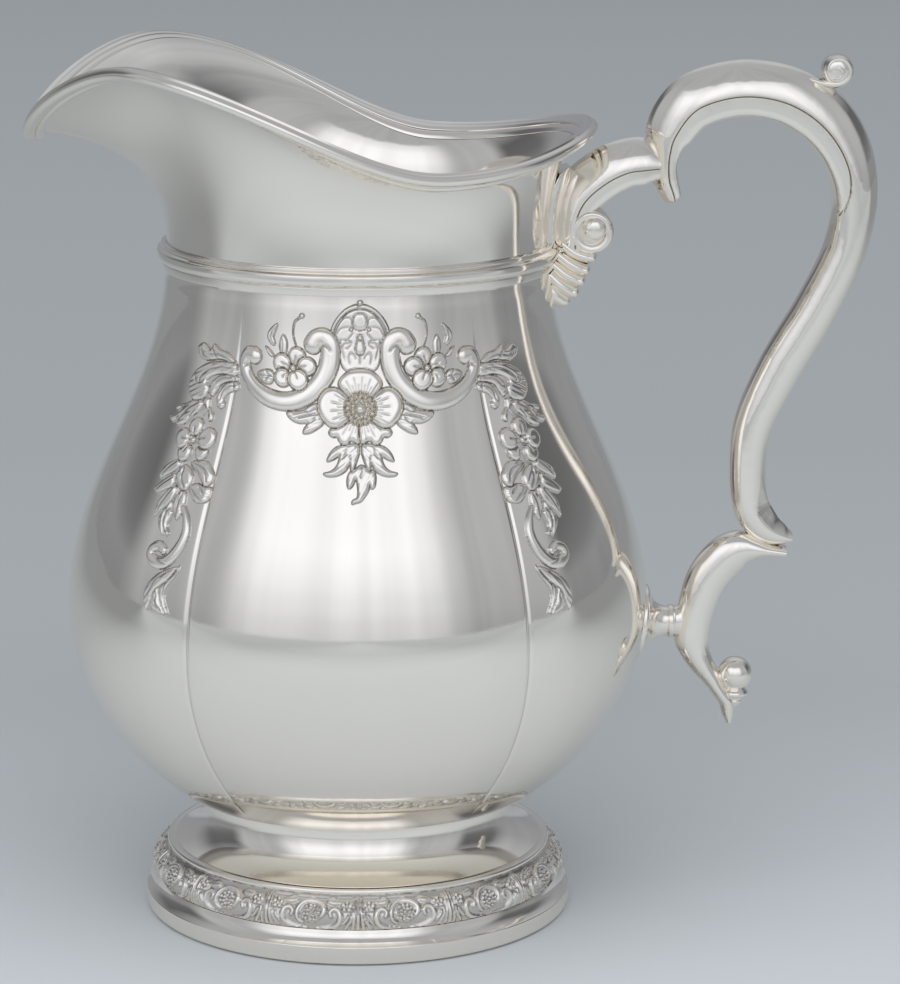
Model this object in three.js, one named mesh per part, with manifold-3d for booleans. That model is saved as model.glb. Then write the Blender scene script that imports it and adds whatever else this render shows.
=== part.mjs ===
// Water pitcher in polished silver: a lobed bowl on a flared foot, a flaring neck with a broad spout,
// a hollow scroll handle carried by two mounts, and applied flower-and-scroll ornament.
// Millimetres, +Z up. Pieces are built round the bowl's own axis, with the spout towards -X and the
// handle towards +X, and the finished group is shifted so that its origin is under its middle.
import * as THREE from 'three';
import { mergeVertices } from 'three/addons/utils/BufferGeometryUtils.js';
import Module from 'manifold-3d';

const wasm = await Module();
wasm.setup();

// Sheet and fits
const WALL = 1.0;
const SOLDER_GAP = 0.3;

// Foot: base ring, stamped border and flared pedestal
const BASE_RADIUS = 57;
const BASE_RING_WIDTH = 7.6;
const BASE_RING_HEIGHT = 8.9;
const BASE_BAND_HEIGHT = 5.2;
const BASE_ROUND = 1.4;
const BASE_STEP = 2.6;
const BORDER_HEIGHT = 10;
const BORDER_SWELL = 1.3;
const BORDER_BEAD_RADIUS = 0.9;
const FOOT_HEIGHT = 31.9;
const JOINT_RADIUS = 44.2;
const JOINT_OVERHANG = 4.7;

// Bowl: widest radius, heights below and above it, and the four grooves between its lobes
const BOWL_RADIUS = 76.8;
const BOWL_LOWER_HEIGHT = 52.1;
const BOWL_UPPER_HEIGHT = 92.5;
const BOWL_COLLAR_HEIGHT = 4.5;
const BOWL_FULLNESS = 1.64;
const SHOULDER_SWELL = 1.1;
const SHOULDER_SHARE = 0.82;
const SHOULDER_SKEW = 0.54;
const GROOVE_ANGLE = THREE.MathUtils.degToRad(34.5);
const GROOVE_DEPTH = 1.5;
const GROOVE_HALF_WIDTH = THREE.MathUtils.degToRad(12);
const GROOVE_FADE = 34;

// Neck and mouth: rim radius and rise above the neck joint at the spout, its wings, the dip and the back
const NECK_RADIUS = 50;
const SPOUT_REACH = 86;
const SPOUT_RISE = 31.5;
const WING_ANGLE = THREE.MathUtils.degToRad(41);
const WING_REACH = 75.5;
const WING_RISE = 52;
const DIP_ANGLE = THREE.MathUtils.degToRad(112);
const DIP_REACH = 59.5;
const DIP_RISE = 27;
const BACK_REACH = 61;
const BACK_RISE = 34.5;
const SPOUT_TROUGH = 1.2;
const SPOUT_FLARE = 0.93;
const NECK_FLARE = 0.78;

// Mouldings of the neck joint and the rim
const BAND_HEIGHT = 7;
const BAND_THICKNESS = 2.1;
const RIM_WIRE_HEIGHT = 5.2;
const RIM_WIRE_THICKNESS = 2.2;
const RIM_WIRE_RISE = 1.4;

// Handle: heights of its mounts, section sizes and wall
const UPPER_MOUNT_RISE = 6.5;
const LOWER_MOUNT_DROP = 7;
const GRIP_WIDTH = 13.4;
const GRIP_WALL = 1.6;
const BRACKET_WIDTH = 12.6;
const VOLUTE_RADIUS = 5.8;
const VOLUTE_BOSS_RADIUS = 3.4;
const VOLUTE_BOSS_RISE = 2.4;
const SHELL_WIDTH = 15;
const LOWER_SCROLL_WIDTH = 9.6;
const BALL_RADIUS = 4.5;
const FERRULE_FLANGE_RADIUS = 9.9;
const FERRULE_STEM_RADIUS = 4.9;
const FERRULE_FLANGE_THICKNESS = 2.2;
const FERRULE_LENGTH = 13;
const FERRULE_SINK = 4;
const THUMB_RADIUS = 5.1;
const THUMB_WIDTH = 9.5;

// Ornament: drop of the cartouche's flower below the neck joint, garland place and relief
const CARTOUCHE_DROP = 30.5;
const GARLAND_ANGLE = THREE.MathUtils.degToRad(44);
const RELIEF = 1.5;
const LEAF_LENGTH = 10.5;
const LEAF_HALF_WIDTH = 2.8;
const LEAF_SPREAD = 0.75;

// Facets round the axis: segments in each broad panel and in each spout or handle panel
const BROAD_SEGMENTS = 8;
const SIDE_SEGMENTS = 12;
const TURNED_SEGMENTS = 36;
const NECK_STEPS = [0, 0.26, 0.48, 0.68, 0.85, 1];

// Heights and places that follow from the sizes above
const borderTop = BASE_RING_HEIGHT + BORDER_HEIGHT;
const skirtRadius = BASE_RADIUS - BASE_RING_WIDTH - SOLDER_GAP;
const widestZ = FOOT_HEIGHT + BOWL_LOWER_HEIGHT;
const neckZ = widestZ + BOWL_UPPER_HEIGHT;
const lowerMountZ = widestZ - LOWER_MOUNT_DROP;
const upperMount = new THREE.Vector2(NECK_RADIUS, neckZ + UPPER_MOUNT_RISE);
const lowerMount = new THREE.Vector2(bowlRadiusAt(lowerMountZ), lowerMountZ);

// Materials, one finish for plain sheet and one for cast or stamped work
const polished = { color: 0xd9d7d0, roughness: 0.12, metalness: 1 };
const chased = { color: 0xc6c4bd, roughness: 0.28, metalness: 1 };

// Smooth step from 0 to 1, as half a cosine wave
function ease(t) {
  const s = THREE.MathUtils.clamp(t, 0, 1);
  return (1 - Math.cos(Math.PI * s)) / 2;
}

// Point at an angle from the front (-Y) towards the handle (+X)
function around(angle, radius, z) {
  return new THREE.Vector3(radius * Math.sin(angle), -radius * Math.cos(angle), z);
}

// Closed skin from points and triangles, turned so that its faces point out
function skin(points, faces) {
  let volume = 0;
  for (let i = 0; i < faces.length; i += 3) {
    const [a, b, c] = [points[faces[i]], points[faces[i + 1]], points[faces[i + 2]]];
    volume += a.dot(b.clone().cross(c));
  }
  const turned = volume < 0 ? [...faces].reverse() : faces;
  const geometry = new THREE.BufferGeometry();
  const places = points.flatMap((p) => [p.x, p.y, p.z]);
  geometry.setAttribute('position', new THREE.Float32BufferAttribute(places, 3));
  geometry.setIndex(turned);
  geometry.computeVertexNormals();
  return geometry;
}

// Joins rings of equally many points, either into a loop or with a fan over each end
function loft(rings, isLoop = false) {
  const size = rings[0].length;
  const points = rings.flat();
  const faces = [];
  const bands = isLoop ? rings.length : rings.length - 1;
  for (let i = 0; i < bands; i += 1) {
    const a = i * size;
    const b = ((i + 1) % rings.length) * size;
    for (let j = 0; j < size; j += 1) {
      const k = (j + 1) % size;
      faces.push(a + j, b + j, b + k);
      faces.push(a + j, b + k, a + k);
    }
  }
  if (!isLoop) {
    const end = (rings.length - 1) * size;
    const first = points.push(middle(rings[0])) - 1;
    const last = points.push(middle(rings.at(-1))) - 1;
    for (let j = 0; j < size; j += 1) {
      const k = (j + 1) % size;
      faces.push(first, j, k);
      faces.push(last, end + k, end + j);
    }
  }
  return skin(points, faces);
}

function middle(points) {
  const sum = new THREE.Vector3();
  points.forEach((p) => sum.add(p));
  return sum.divideScalar(points.length);
}

// Ring turned about the bowl's axis from a closed profile of [radius, z] points
function turned(profile) {
  const outline = [...profile, profile[0]].map(([r, z]) => new THREE.Vector2(r, z));
  return new THREE.LatheGeometry(outline, TURNED_SEGMENTS).rotateX(Math.PI / 2);
}

function solidOf(geometry) {
  const bare = geometry.clone();
  bare.deleteAttribute('normal');
  bare.deleteAttribute('uv');
  const merged = mergeVertices(bare, 1e-5);
  const vertProperties = Float32Array.from(merged.attributes.position.array);
  const triVerts = Uint32Array.from(merged.index.array);
  return new wasm.Manifold(new wasm.Mesh({ numProp: 3, vertProperties, triVerts }));
}

function geometryOf(solid) {
  const mesh = solid.getMesh();
  const geometry = new THREE.BufferGeometry();
  geometry.setAttribute('position', new THREE.Float32BufferAttribute(mesh.vertProperties, 3));
  geometry.setIndex([...mesh.triVerts]);
  geometry.computeVertexNormals();
  return geometry;
}

function join(geometries) {
  const solids = geometries.map(solidOf);
  return geometryOf(solids.reduce((whole, solid) => whole.add(solid)));
}

function cut(geometry, tools) {
  const solids = tools.map(solidOf);
  return geometryOf(solids.reduce((rest, tool) => rest.subtract(tool), solidOf(geometry)));
}

// Bowl

// Facet angles: closer together beside the grooves, which are angles of their own
function facetAngles() {
  const panels = [
    { centre: 0, half: GROOVE_ANGLE, count: BROAD_SEGMENTS },
    { centre: Math.PI / 2, half: Math.PI / 2 - GROOVE_ANGLE, count: SIDE_SEGMENTS },
    { centre: Math.PI, half: GROOVE_ANGLE, count: BROAD_SEGMENTS },
    { centre: -Math.PI / 2, half: Math.PI / 2 - GROOVE_ANGLE, count: SIDE_SEGMENTS },
  ];
  return panels.flatMap(({ centre, half, count }) => Array.from({ length: count }, (_, i) => {
    const s = (2 * i) / count - 1;
    return centre + half * (1.25 * s - 0.25 * s ** 3);
  }));
}

// Radius of the plain bowl at a height
function bowlRadiusAt(z) {
  if (z < widestZ) {
    const down = THREE.MathUtils.clamp((widestZ - z) / BOWL_LOWER_HEIGHT, 0, 1);
    return JOINT_RADIUS + (BOWL_RADIUS - JOINT_RADIUS) * Math.sqrt(1 - down * down) ** BOWL_FULLNESS;
  }
  const up = (z - widestZ) / (BOWL_UPPER_HEIGHT - BOWL_COLLAR_HEIGHT);
  const down = THREE.MathUtils.clamp((1 - up) / SHOULDER_SHARE, 0, 1);
  const swell = SHOULDER_SWELL * Math.sin(Math.PI * down ** SHOULDER_SKEW);
  return THREE.MathUtils.lerp(BOWL_RADIUS, NECK_RADIUS, ease(up)) + swell;
}

// How far the sheet is drawn in at an angle and a height
function grooveAt(angle, z) {
  const fromFront = Math.acos(Math.abs(Math.cos(angle)));
  const near = Math.max(0, 1 - Math.abs(fromFront - GROOVE_ANGLE) / GROOVE_HALF_WIDTH);
  const below = ease((neckZ - BOWL_COLLAR_HEIGHT - z) / GROOVE_FADE);
  const above = ease((2 * (z - FOOT_HEIGHT)) / GROOVE_FADE);
  return GROOVE_DEPTH * near ** 2 * below * above;
}

// Place on the bowl at an angle, moved off its sheet by a distance
function onBowl(angle, z, off = 0) {
  const step = 0.05;
  const low = Math.max(z - step, FOOT_HEIGHT);
  const high = low + 2 * step;
  const slope = new THREE.Vector2(bowlRadiusAt(high) - bowlRadiusAt(low), high - low).normalize();
  return around(angle, bowlRadiusAt(z) - grooveAt(angle, z) + off * slope.y, z - off * slope.x);
}

function bowlRow(z, off) {
  return facetAngles().map((angle) => onBowl(angle, z, off));
}

// Heights of the bowl's facet rows, from its foot joint to the neck joint
function bowlHeights(lowerRows, upperRows) {
  const lower = Array.from({ length: lowerRows }, (_, i) => {
    return widestZ - BOWL_LOWER_HEIGHT * Math.cos((i / lowerRows) * (Math.PI / 2));
  });
  const upper = Array.from({ length: upperRows + 1 }, (_, i) => {
    return widestZ + (BOWL_UPPER_HEIGHT - BOWL_COLLAR_HEIGHT) * (i / upperRows);
  });
  return [...lower, ...upper, neckZ];
}

function flatRow(radius, z) {
  return facetAngles().map((angle) => around(angle, radius, z));
}

function bowl() {
  const floor = FOOT_HEIGHT + WALL;
  const outer = bowlHeights(6, 9).map((z) => bowlRow(z, 0));
  const inner = bowlHeights(4, 6).slice(1, -1).map((z) => bowlRow(z, -WALL)).reverse();
  const rings = [...outer, flatRow(NECK_RADIUS - WALL, neckZ), ...inner, flatRow(JOINT_RADIUS, floor)];
  return loft(rings);
}

// Solid of the bowl's outer form, grown by a clearance, for seating pieces on it
function bowlForm(clearance) {
  return loft(bowlHeights(6, 9).map((z) => bowlRow(z, clearance)));
}

// Neck, spout and rim

// Rim radius and height at an angle, from the spout round either side to the back
function rimAt(angle) {
  const turn = Math.acos(THREE.MathUtils.clamp(-Math.sin(angle), -1, 1));
  if (turn < WING_ANGLE) {
    const t = turn / WING_ANGLE;
    const lift = Math.sin((Math.PI / 2) * t) ** SPOUT_TROUGH;
    const radius = THREE.MathUtils.lerp(SPOUT_REACH, WING_REACH, ease(t));
    return new THREE.Vector2(radius, neckZ + THREE.MathUtils.lerp(SPOUT_RISE, WING_RISE, lift));
  }
  if (turn < DIP_ANGLE) {
    const t = ease((turn - WING_ANGLE) / (DIP_ANGLE - WING_ANGLE));
    const rise = THREE.MathUtils.lerp(WING_RISE, DIP_RISE, t);
    return new THREE.Vector2(THREE.MathUtils.lerp(WING_REACH, DIP_REACH, t), neckZ + rise);
  }
  const t = ease((turn - DIP_ANGLE) / (Math.PI - DIP_ANGLE));
  const rise = THREE.MathUtils.lerp(DIP_RISE, BACK_RISE, t);
  return new THREE.Vector2(THREE.MathUtils.lerp(DIP_REACH, BACK_REACH, t), neckZ + rise);
}

// Curve of the neck's outer face at an angle, from its collar up to the rim, as radius and height
function neckCurve(angle) {
  const rim = rimAt(angle);
  const spoutShare = (1 - Math.sin(angle)) / 2;
  const flare = THREE.MathUtils.lerp(NECK_FLARE, SPOUT_FLARE, ease(2 * spoutShare - 1));
  const root = new THREE.Vector2(NECK_RADIUS, neckZ + BAND_HEIGHT / 2);
  const bend = new THREE.Vector2(NECK_RADIUS, THREE.MathUtils.lerp(root.y, rim.y, flare));
  return new THREE.QuadraticBezierCurve(root, bend, rim);
}

// Place beside the neck's outer face: t runs along the curve, past 1 in a straight line, off points out
function onNeck(angle, t, off) {
  const curve = neckCurve(angle);
  const inside = THREE.MathUtils.clamp(t, 0, 1);
  const tangent = curve.getTangent(inside);
  const point = curve.getPoint(inside).addScaledVector(tangent, (t - inside) * rimSpeed(curve));
  return around(angle, point.x + off * tangent.y, point.y - off * tangent.x);
}

// Length along the wall, near the rim, for each unit of the curve's parameter
function rimSpeed(curve) {
  return 2 * curve.v2.distanceTo(curve.v1);
}

// Place near the rim by its distance below the edge (negative above it)
function nearRim(angle, below, off) {
  return onNeck(angle, 1 - below / rimSpeed(neckCurve(angle)), off);
}

function neckRow(t, off) {
  return facetAngles().map((angle) => onNeck(angle, t, off));
}

function neck() {
  const outer = [flatRow(NECK_RADIUS, neckZ), ...NECK_STEPS.map((t) => neckRow(t, 0))];
  const inner = [flatRow(NECK_RADIUS - WALL, neckZ), ...NECK_STEPS.map((t) => neckRow(t, -WALL))];
  return loft([...outer, ...inner.reverse()], true);
}

// Solid of the neck's outer form, grown by a clearance
function neckForm(clearance) {
  const collar = flatRow(NECK_RADIUS + clearance, neckZ);
  return loft([collar, ...NECK_STEPS.map((t) => neckRow(t, clearance))]);
}

// Wire round the mouth: it backs on the sheet, folds over its edge and swells to a bead outside
function rimWire() {
  const back = SOLDER_GAP;
  const face = SOLDER_GAP + RIM_WIRE_THICKNESS;
  const section = [
    [RIM_WIRE_HEIGHT, back],
    [-SOLDER_GAP, back],
    [-SOLDER_GAP, -WALL],
    [-RIM_WIRE_RISE, -WALL / 2],
    [-RIM_WIRE_RISE, face / 2],
    [0, face],
    [RIM_WIRE_HEIGHT * 0.45, face],
    [RIM_WIRE_HEIGHT * 0.65, face * 0.7],
    [RIM_WIRE_HEIGHT, face * 0.55],
  ];
  const rings = section.map(([below, off]) => {
    return facetAngles().map((angle) => nearRim(angle, below, off));
  });
  return loft(rings, true);
}

// Band over the joint of bowl and neck: a bead between two fillets
function neckBand() {
  const inner = NECK_RADIUS + SOLDER_GAP;
  const fillet = inner + BAND_THICKNESS * 0.45;
  const face = inner + BAND_THICKNESS;
  const at = (share) => neckZ + BAND_HEIGHT * (share - 0.5);
  return turned([
    [inner, at(0)], [fillet, at(0)], [fillet, at(0.14)], [face, at(0.28)], [face, at(0.56)],
    [fillet, at(0.7)], [fillet, at(1)], [inner, at(1)],
  ]);
}

// Foot

function baseRing() {
  const inner = BASE_RADIUS - BASE_RING_WIDTH;
  const cove = BASE_RING_HEIGHT - BASE_BAND_HEIGHT;
  return turned([
    [inner, 0], [BASE_RADIUS - 1.5 * BASE_ROUND, 0], [BASE_RADIUS - 0.35 * BASE_ROUND, 0.4 * BASE_ROUND],
    [BASE_RADIUS, BASE_ROUND], [BASE_RADIUS, BASE_BAND_HEIGHT - 0.2], [BASE_RADIUS - 0.3, BASE_BAND_HEIGHT],
    [BASE_RADIUS - BASE_STEP * 0.65, BASE_BAND_HEIGHT + cove * 0.3],
    [BASE_RADIUS - BASE_STEP * 0.92, BASE_BAND_HEIGHT + cove * 0.66],
    [BASE_RADIUS - BASE_STEP, BASE_RING_HEIGHT], [inner, BASE_RING_HEIGHT],
  ]);
}

// Stamped strip that leans in to a bead along its top edge
function footBorder() {
  const inner = BASE_RADIUS - BASE_RING_WIDTH;
  const foot = BASE_RADIUS - BASE_STEP;
  const bead = inner + BORDER_BEAD_RADIUS;
  const neckOfBead = borderTop - 2 * BORDER_BEAD_RADIUS;
  const swell = new THREE.QuadraticBezierCurve(
    new THREE.Vector2(foot - 0.4, BASE_RING_HEIGHT),
    new THREE.Vector2(foot + 2 * BORDER_SWELL, BASE_RING_HEIGHT + BORDER_HEIGHT * 0.45),
    new THREE.Vector2(bead + BORDER_BEAD_RADIUS, neckOfBead),
  );
  return turned([
    [inner, BASE_RING_HEIGHT],
    ...swell.getPoints(4).map((p) => [p.x, p.y]),
    [bead + BORDER_BEAD_RADIUS, borderTop - BORDER_BEAD_RADIUS / 2],
    [bead, borderTop],
    [inner, borderTop - BORDER_BEAD_RADIUS / 2],
  ]);
}

// Bend points of the pedestal's flare: shares of its run outwards and of its drop
const FLARE_BENDS = [
  [0, 0], [0, 0.282], [0.042, 0.405], [0.177, 0.565], [0.292, 0.702], [0.531, 0.863], [1, 1],
];

// Outer line of the pedestal, from the bowl down its hollow flare to the bead and the foot of its skirt
function pedestalLine() {
  const top = JOINT_RADIUS - JOINT_OVERHANG;
  const flareEnd = borderTop - 0.1;
  const bends = FLARE_BENDS.map(([run, drop]) => new THREE.Vector2(
    THREE.MathUtils.lerp(top, skirtRadius, run),
    THREE.MathUtils.lerp(FOOT_HEIGHT, flareEnd, drop),
  ));
  const upper = new THREE.CubicBezierCurve(...bends.slice(0, 4)).getPoints(4);
  const lower = new THREE.CubicBezierCurve(...bends.slice(3)).getPoints(5).slice(1);
  return [...upper, ...lower, new THREE.Vector2(skirtRadius, BASE_RING_HEIGHT / 2)];
}

// Copy of a line moved sideways, inwards when the distance is positive, with mitred corners
function offsetLine(line, distance) {
  return line.map((point, i) => {
    const before = line[Math.max(i - 1, 0)];
    const after = line[Math.min(i + 1, line.length - 1)];
    const into = i > 0 ? point.clone().sub(before).normalize() : after.clone().sub(point).normalize();
    const out = i < line.length - 1 ? after.clone().sub(point).normalize() : into;
    const mitre = into.clone().add(out).normalize();
    const across = new THREE.Vector2(mitre.y, -mitre.x);
    const square = new THREE.Vector2(into.y, -into.x);
    return point.clone().addScaledVector(across, distance / across.dot(square));
  });
}

function footPedestal() {
  const outer = pedestalLine();
  const inner = offsetLine(outer, WALL);
  inner[0].y = FOOT_HEIGHT;
  return turned([...outer.reverse(), ...inner].map((p) => [p.x, p.y]));
}

// Handle

// Bar along a path in the middle plane. A station is [x, z, depth, width, flat]: flat is the share of
// the depth, on the inner side, whose faces are straight instead of round.
function bar(stations, grow = 0, stepsPerStation = 2, sides = 12) {
  const places = stations.map(([x, z]) => new THREE.Vector3(x, 0, z));
  const path = new THREE.CatmullRomCurve3(places, false, 'centripetal');
  const count = (stations.length - 1) * stepsPerStation;
  const rings = Array.from({ length: count + 1 }, (_, i) => {
    const t = i / count;
    const place = t * (stations.length - 1);
    const low = Math.min(Math.floor(place), stations.length - 2);
    const next = stations[low + 1];
    const size = stations[low].map((value, n) => THREE.MathUtils.lerp(value, next[n], place - low));
    return barSection(path.getPoint(t), path.getTangent(t), size, grow, sides);
  });
  return loft(rings);
}

function barSection(centre, tangent, [, , depth, width, flat], grow, sides) {
  const out = new THREE.Vector3(-tangent.z, 0, tangent.x);
  const ridge = -depth / 2 + flat * depth;
  const squareness = THREE.MathUtils.lerp(1, 0.35, Math.min(1, 2 * Math.abs(flat - 0.5) * 4));
  return Array.from({ length: sides }, (_, i) => {
    const a = (2 * Math.PI * (i + 0.5)) / sides;
    const isOuter = Math.sin(a) > 0;
    const power = isOuter ? 1 : squareness;
    const reach = isOuter ? depth / 2 - ridge : depth / 2 + ridge;
    const side = Math.sign(Math.cos(a)) * Math.abs(Math.cos(a)) ** power;
    const rise = Math.sign(Math.sin(a)) * Math.abs(Math.sin(a)) ** power;
    return centre.clone()
      .addScaledVector(out, ridge + (reach + grow) * rise)
      .add(new THREE.Vector3(0, (width / 2 + grow) * side, 0));
  });
}

// Stations given from a mount: [out, up, depth, share of the width, flat]
function from(mount, width, stations) {
  return stations.map(([out, up, depth, share, flat]) => {
    return [mount.x + out, mount.y + up, depth, width * share, flat];
  });
}

// Grip: the arch is set out from the upper mount, and the stem and its spur from the lower mount
function gripStations() {
  const arch = from(upperMount, GRIP_WIDTH, [
    [31, 8, 4.2, 0.7, 0.5],
    [30, 14.8, 7.6, 0.84, 0.45],
    [30.4, 24.8, 12.4, 0.9, 0.42],
    [36, 32.5, 14.3, 1, 0.42],
    [44.6, 36, 14.6, 1, 0.42],
    [53.2, 36.6, 14.8, 1, 0.42],
    [62.6, 34.4, 15, 1, 0.42],
    [71.2, 28.8, 14.8, 1, 0.42],
    [77.4, 20, 13.6, 1, 0.44],
    [80, 8, 12, 1, 0.48],
  ]);
  const stem = from(lowerMount, GRIP_WIDTH, [
    [51, 100, 11.6, 0.98, 0.5],
    [44.3, 85.3, 11.8, 0.94, 0.5],
    [34.6, 68.3, 11.8, 0.86, 0.5],
    [28, 53, 10.5, 0.8, 0.5],
    [26.9, 41.2, 9.9, 0.74, 0.5],
    [27.9, 32.2, 9.8, 0.7, 0.5],
    [30.2, 27.8, 9.6, 0.68, 0.5],
    [33, 25.2, 8.4, 0.66, 0.5],
    [36.6, 23.7, 5.6, 0.62, 0.5],
    [39, 23.1, 2.4, 0.56, 0.5],
  ]);
  return [...arch, ...stem];
}

function gripForm(clearance) {
  return bar(gripStations(), clearance);
}

// One half of the hollow grip, on the front (-1) or back (1) of the middle plane
function gripHalf(side) {
  const hollow = gripStations().filter(([, , depth]) => depth > 4 * GRIP_WALL);
  const reach = 2 * (upperMount.y + lowerMount.x);
  const half = new THREE.BoxGeometry(reach, reach, reach).translate(0, (side * reach) / 2, 0);
  const rest = solidOf(bar(gripStations())).subtract(solidOf(bar(hollow, -GRIP_WALL, 1, 8)));
  return geometryOf(rest.intersect(solidOf(half)));
}

// Everything round the neck that the upper mount's pieces are fitted to
function neckSeat() {
  const radius = NECK_RADIUS + BAND_THICKNESS + 2 * SOLDER_GAP;
  const band = [[0, neckZ - BAND_HEIGHT / 2 - SOLDER_GAP], [radius, neckZ - BAND_HEIGHT / 2 - SOLDER_GAP],
    [radius, neckZ + BAND_HEIGHT / 2 + SOLDER_GAP], [0, neckZ + BAND_HEIGHT / 2 + SOLDER_GAP]];
  return [bowlForm(SOLDER_GAP), neckForm(SOLDER_GAP), turned(band)];
}

const voluteCentre = new THREE.Vector2(upperMount.x + 11, upperMount.y - 0.9);

// Drum across the middle plane, centred on a point of that plane
function drum(centre, radius, width) {
  return new THREE.CylinderGeometry(radius, radius, width, 20).translate(centre.x, 0, centre.y);
}

function upperBracket() {
  const arm = bar(from(upperMount, BRACKET_WIDTH, [
    [7.5, -4.5, 5, 1, 0.5],
    [4.6, 0.8, 9, 1, 0.48],
    [7.2, 8.4, 12.4, 1, 0.44],
    [13.6, 14.2, 13, 1, 0.42],
    [20, 17.2, 12.8, 1, 0.42],
    [25, 17.2, 12.4, 0.9, 0.42],
    [28.6, 14.2, 9, 0.72, 0.42],
    [30.4, 11, 5, 0.6, 0.46],
  ]));
  const volute = drum(voluteCentre, VOLUTE_RADIUS, BRACKET_WIDTH);
  return cut(join([arm, volute]), [...neckSeat(), gripForm(SOLDER_GAP)]);
}

// Round boss in the volute's eye, seated flat on the drum's end
function voluteBoss(side) {
  const line = new THREE.QuadraticBezierCurve(
    new THREE.Vector2(VOLUTE_BOSS_RADIUS, 0),
    new THREE.Vector2(VOLUTE_BOSS_RADIUS, VOLUTE_BOSS_RISE),
    new THREE.Vector2(0, VOLUTE_BOSS_RISE),
  );
  const profile = [new THREE.Vector2(0, 0), ...line.getPoints(4)];
  const cap = new THREE.LatheGeometry(profile, 16);
  if (side < 0) {
    cap.rotateX(Math.PI);
  }
  return cap.translate(voluteCentre.x, (side * BRACKET_WIDTH) / 2, voluteCentre.y);
}

// Fluted leaf below the bracket: lobes side by side that shorten downwards
function shellLeaf() {
  const lobes = [
    { up: -9.4, reach: 12.6, height: 4.4 },
    { up: -12.8, reach: 11.2, height: 4.4 },
    { up: -16, reach: 9.6, height: 4.4 },
    { up: -19.4, reach: 7.2, height: 4.6 },
  ];
  const shapes = lobes.map(({ up, reach, height }, i) => bar([
    [upperMount.x - 2, upperMount.y + up, height, SHELL_WIDTH * (1 - 0.09 * i), 0.5],
    [upperMount.x + reach * 0.6, upperMount.y + up + 0.4, height, SHELL_WIDTH * (0.94 - 0.1 * i), 0.5],
    [upperMount.x + reach, upperMount.y + up + 0.8, height * 0.55, SHELL_WIDTH * (0.6 - 0.07 * i), 0.5],
  ], 0, 1, 10));
  const clear = drum(voluteCentre, VOLUTE_RADIUS + SOLDER_GAP, SHELL_WIDTH * 2);
  return cut(join(shapes), [...neckSeat(), clear]);
}

const thumbCentre = new THREE.Vector2(upperMount.x + 74.8, upperMount.y + 41.2);

// Curl on top of the grip: a drum, swollen at its middle, with the tail that leads into it
function thumbScroll() {
  const half = THUMB_WIDTH / 2;
  const line = new THREE.QuadraticBezierCurve(
    new THREE.Vector2(THUMB_RADIUS * 0.75, -half),
    new THREE.Vector2(THUMB_RADIUS * 1.25, 0),
    new THREE.Vector2(THUMB_RADIUS * 0.75, half),
  );
  const profile = [new THREE.Vector2(0, -half), ...line.getPoints(4), new THREE.Vector2(0, half)];
  const roll = new THREE.LatheGeometry(profile, 16).translate(thumbCentre.x, 0, thumbCentre.y);
  const tail = bar([
    [thumbCentre.x - 8, thumbCentre.y - 1.4, 1.4, THUMB_WIDTH * 0.6, 0.5],
    [thumbCentre.x - 4, thumbCentre.y - 2.6, 2.4, THUMB_WIDTH * 0.75, 0.5],
    [thumbCentre.x + 1, thumbCentre.y - 4.4, 3.4, THUMB_WIDTH * 0.8, 0.5],
  ]);
  return cut(join([roll, tail]), [gripForm(SOLDER_GAP)]);
}

const ballCentre = new THREE.Vector2(lowerMount.x + 24.8, lowerMount.y - 14.6);

function ball(radius) {
  return new THREE.SphereGeometry(radius, 14, 8).translate(ballCentre.x, 0, ballCentre.y);
}

function lowerScrollForm(clearance) {
  return bar(from(lowerMount, LOWER_SCROLL_WIDTH, [
    [37.4, 18.9, 3.2, 0.8, 0.5],
    [32.4, 19.5, 3.6, 0.88, 0.5],
    [28.4, 20, 6.6, 0.96, 0.5],
    [24, 19.6, 10, 1, 0.5],
    [18.8, 15.4, 10.6, 1, 0.5],
    [15.4, 8.8, 9.2, 1, 0.5],
    [14.3, 0.6, 8, 1, 0.5],
    [14.2, -6.3, 7.4, 0.96, 0.5],
    [15.3, -11, 6.2, 0.9, 0.5],
    [17.5, -15.2, 4.6, 0.84, 0.5],
    [20.4, -19.4, 3.8, 0.76, 0.5],
    [22.9, -23.8, 3.8, 0.66, 0.5],
    [23.6, -27.9, 1.8, 0.5, 0.5],
  ]), clearance);
}

// Leaf cup that carries the ball, joined to the scroll's tail
function lowerScroll() {
  const cup = bar([
    [ballCentre.x - 5, ballCentre.y - 6, 3.4, LOWER_SCROLL_WIDTH * 0.7, 0.5],
    [ballCentre.x - 0.6, ballCentre.y - 5.8, 2.8, LOWER_SCROLL_WIDTH * 0.75, 0.5],
    [ballCentre.x + 3.6, ballCentre.y - 4.9, 1.8, LOWER_SCROLL_WIDTH * 0.6, 0.5],
  ]);
  return cut(join([lowerScrollForm(0), cup]), [gripForm(SOLDER_GAP), ball(BALL_RADIUS + SOLDER_GAP)]);
}

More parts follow.
